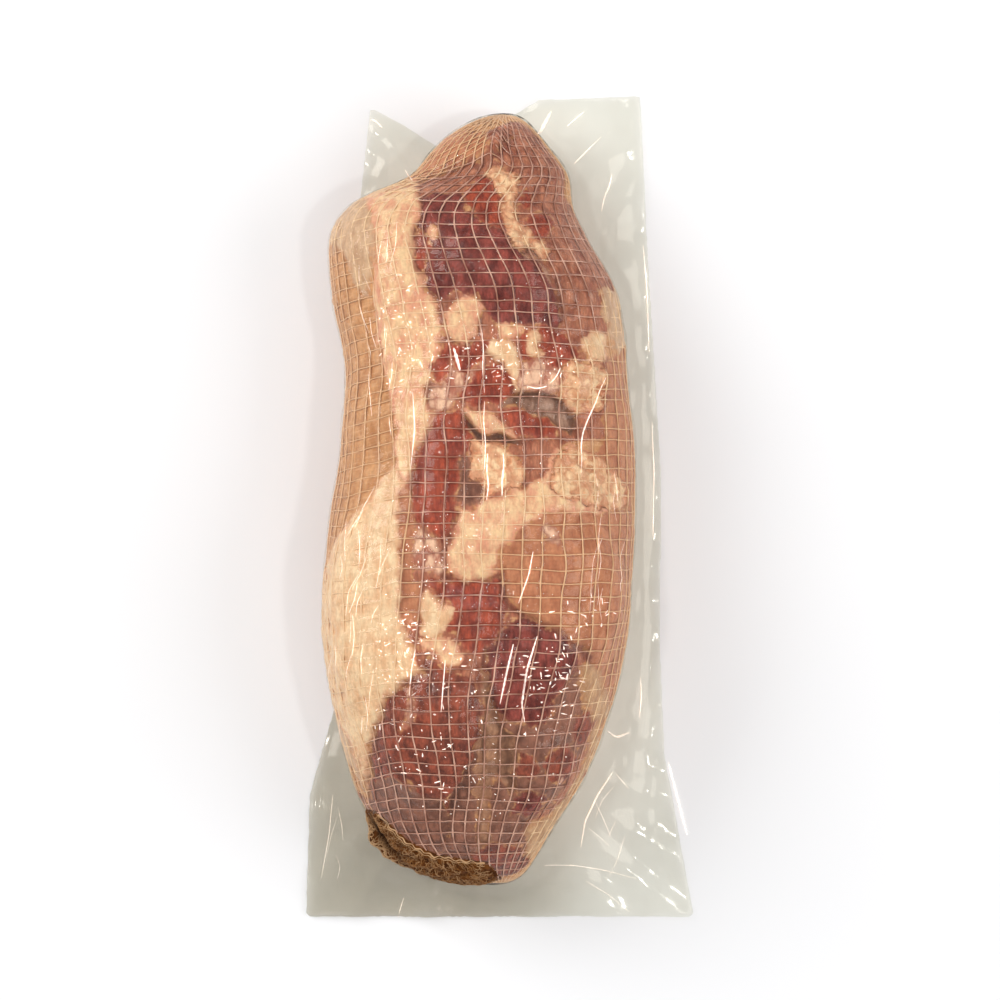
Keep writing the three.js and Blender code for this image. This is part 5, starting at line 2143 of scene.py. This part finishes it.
GLINT_ZONES: tuple[GlintZone, ...] = (
    GlintZone((455, 715), (42, 75), 26), GlintZone((565, 660), (22, 72), 28),
    GlintZone((408, 340), (28, 62), 30), GlintZone((416, 640), (18, 36), 20),
    GlintZone((546, 695), (28, 62), 24), GlintZone((505, 370), (62, 30), 26),
    GlintZone((592, 608), (22, 22), 16), GlintZone((390, 700), (22, 60), 12),
    GlintZone((435, 765), (36, 36), 14), GlintZone((543, 665), (30, 22), 12),
    GlintZone((405, 650), (34, 40), 56, GLINT_SPECK_LENGTH, GLINT_SPECK_WIDTH, scatter=1.0),
    GlintZone((425, 348), (34, 60), 56, GLINT_SPECK_LENGTH, GLINT_SPECK_WIDTH, scatter=1.0),
    GlintZone((520, 360), (60, 34), 60, GLINT_SPECK_LENGTH, GLINT_SPECK_WIDTH, scatter=1.0),
    GlintZone((480, 740), (95, 80), 64, GLINT_SPECK_LENGTH, GLINT_SPECK_WIDTH, scatter=1.0),
    GlintZone((430, 560), (24, 36), 40, GLINT_SPECK_LENGTH, GLINT_SPECK_WIDTH, scatter=1.0),
    GlintZone((352, 640), (26, 110), 16, WRINKLE_GLINT_LENGTH, WRINKLE_GLINT_WIDTH, (1.52,), 0.12),
    GlintZone((375, 560), (24, 70), 8, WRINKLE_GLINT_LENGTH, WRINKLE_GLINT_WIDTH, (1.2,), 0.15),
    GlintZone((380, 330), (26, 120), 14, WRINKLE_GLINT_LENGTH, WRINKLE_GLINT_WIDTH, (1.6,), 0.14),
    GlintZone((605, 560), (18, 120), 12, WRINKLE_GLINT_LENGTH, WRINKLE_GLINT_WIDTH, (1.55,), 0.12),
    GlintZone((338, 830), (16, 60), 3, WRINKLE_GLINT_LENGTH, WRINKLE_GLINT_WIDTH, (1.45,), 0.2),
    GlintZone((610, 810), (40, 70), 6, WRINKLE_GLINT_LENGTH, WRINKLE_GLINT_WIDTH, (1.1, 2.0), 0.3),
)


@dataclass
class FilmCreases:
    """Film folds, and short ridges where it stands off the net, dressed as painted highlights."""

    trees: list[BVHTree]
    threads: ThreadTree
    step: float = 1.2 * MM
    above: float = 200 * MM
    sink: float = 0.3
    bead: float = 2.1 * MM
    taper: float = 0.55
    bend: float = 0.12
    seed: int = 91

    def _on_film(self, x: float, y: float, width: float) -> tuple[float, float, float]:
        """Find the top of the film over a place.

        Args:
            x: Place along X.
            y: Place along Y.
            width: Width of the ridge that lies there.

        Returns:
            The ridge's middle.
        """
        start, down = Vector((x, y, self.above)), Vector((0, 0, -1))
        hits = [hit[0].z for hit in (tree.ray_cast(start, down) for tree in self.trees) if hit[0]]
        return x, y, max(hits, default=width / 2) - self.sink * width / 2

    def _ridge(self, plan: np.ndarray, width: float) -> tuple[np.ndarray, np.ndarray]:
        """Run one tapered ridge over the film.

        Args:
            plan: Its path on the table, in metres.
            width: Its greatest width.

        Returns:
            Its places and girths.
        """
        run = np.concatenate([[0], np.cumsum(np.linalg.norm(np.diff(plan, axis=0), axis=1))])
        count = max(5, round(run[-1] / self.step))
        places = np.linspace(0, run[-1], count)
        path = np.array([self._on_film(np.interp(p, run, plan[:, 0]),
                                       np.interp(p, run, plan[:, 1]), width) for p in places])
        for _ in range(3):
            path[1:-1] = (path[:-2] + 2 * path[1:-1] + path[2:]) / 4
        shares = np.linspace(0.04, 0.96, count)
        beads = 0.85 + 0.25 * np.sin(run[-1] / self.bead * shares * math.tau + path[0, 0] / MM)
        return path, width * np.sin(math.pi * shares) ** self.taper * beads

    def build(self) -> None:
        """Build and dress the creases."""
        ridges = [self._ridge(on_table(np.array(crease.path, float)), crease.width)
                  for crease in CREASES]
        draw = np.random.default_rng(self.seed)
        for zone in GLINT_ZONES:
            for _ in range(zone.count):
                turn, far = draw.uniform(0, math.tau), math.sqrt(draw.uniform())
                spot = on_table(np.array([[zone.centre[0] + zone.half[0] * far * math.cos(turn),
                                           zone.centre[1] + zone.half[1] * far * math.sin(turn)]]))
                heading = draw.choice(zone.headings) + draw.normal(0, zone.scatter)
                half = draw.uniform(*zone.length) / 2
                way = np.array([math.cos(heading), math.sin(heading)]) * half
                bend = np.array([-way[1], way[0]]) * draw.normal(0, self.bend)
                ridges.append(self._ridge(np.vstack([spot - way, spot + bend, spot + way]),
                                          draw.uniform(*zone.width)))
        paths, girths = zip(*ridges)
        # Painted highlights: every ridge is dressed in a glowing white haze, so folds and glints
        # show bright whatever the lamps do.
        finish = VacuumFilm("film_crease_highlight", haze_and_highlight=0.78, haze_and_highlight_colour="#FFF6F0", face_shine=0.3,
                            rim_shine=0.3, clear_colour="#FAFAF8", painted_highlight=True).make()
        # Girths are whole widths here, so the radius is half of one.
        piece = self.threads.spin("film_creases", list(paths), list(girths), finish, 0.5)
        piece.visible_shadow = False
        settle(piece, "clear_film")


@dataclass(frozen=True)
class Softbox:
    """One square light that faces the joint, with its power in watts."""

    name: str
    place: tuple[float, float, float]
    size: float
    power: float
    mirrored: bool = True


@dataclass
class Studio:
    """The plain pale table, the soft lights and the camera straight above."""

    table_size: float = 3.0
    view_width: float = 0.5
    view_distance: float = 2.0
    sensor: float = 36.0
    aim: tuple[float, float, float] = (0.0, 3.25 * MM, 41 * MM)
    light_colour: str = "#FFFEFB"
    air_colour: str = "#F4F4F2"
    air_strength: float = 0.43
    lights: tuple[Softbox, ...] = (
        Softbox("softbox_left", (-1.45, 0.95, 1.15), 1.3, 26),
        Softbox("softbox_right", (1.5, -0.1, 1.2), 1.3, 15),
        Softbox("softbox_foot", (0.1, -1.5, 1.2), 1.0, 4.5, mirrored=False),
        Softbox("lamp_left", (-0.45, 0.3, 1.7), 0.1, 3.0),
        Softbox("lamp_right", (0.5, -0.1, 1.7), 0.1, 2.8))

    def build(self) -> None:
        """Build the table, lights and camera."""
        half = self.table_size / 2
        corners = np.array([(-half, -half, 0), (half, -half, 0), (half, half, 0),
                            (-half, half, 0)], float)
        table = mesh_object("table", corners, [(0, 1, 2, 3)], smooth=False)
        table.data.materials.append(PaleTable().make())
        self._camera()
        for light in self.lights:
            self._hang(light)
        world = bpy.data.worlds.new("studio_air")
        world.use_nodes = True
        air = world.node_tree.nodes["Background"]
        air.inputs["Color"].default_value = linear(self.air_colour)
        air.inputs["Strength"].default_value = self.air_strength
        bpy.context.scene.world = world
        bpy.context.scene.view_settings.view_transform = "Standard"

    def _camera(self) -> None:
        """Hang the camera over the joint."""
        lens = bpy.data.cameras.new("camera")
        lens.sensor_width = self.sensor
        lens.lens = self.sensor * self.view_distance / self.view_width
        lens.clip_end = 10 * self.view_distance
        camera = bpy.data.objects.new("camera", lens)
        camera.location = Vector(self.aim) + Vector((0, 0, self.view_distance))
        bpy.context.scene.collection.objects.link(camera)
        bpy.context.scene.camera = camera

    def _hang(self, light: Softbox) -> None:
        """Hang one light.

        Args:
            light: The light.
        """
        lamp = bpy.data.lights.new(light.name, "AREA")
        lamp.size = light.size
        lamp.energy = light.power
        lamp.color = linear(self.light_colour)[:3]
        hung = bpy.data.objects.new(light.name, lamp)
        hung.location = light.place
        hung.rotation_euler = (Vector(self.aim) - Vector(light.place)).to_track_quat(
            "-Z", "Y").to_euler()
        hung.visible_glossy = light.mirrored
        bpy.context.scene.collection.objects.link(hung)


def main() -> None:
    """Build every piece in order."""
    logging.basicConfig(level=logging.INFO, format="%(name)s %(message)s")
    Studio().build()
    form = MeatForm()
    surface = WrappedSurface(form.points(form.reach), form.ends)
    layout = NetLayout(surface)
    LOG.info("net: %d threads, %d rings", layout.threads, layout.rings)
    threads = ThreadTree()
    meat_tree = search_tree(Meat(layout).build())
    ElasticNet(layout, threads).build()
    NetGather(meat_tree, threads).build()
    skin = FilmSkin(form, layout, meat_tree).build()
    margin = FilmMargin().build()
    FilmCreases([search_tree(skin), search_tree(margin)], threads).build()


if __name__ == "__main__":
    main()
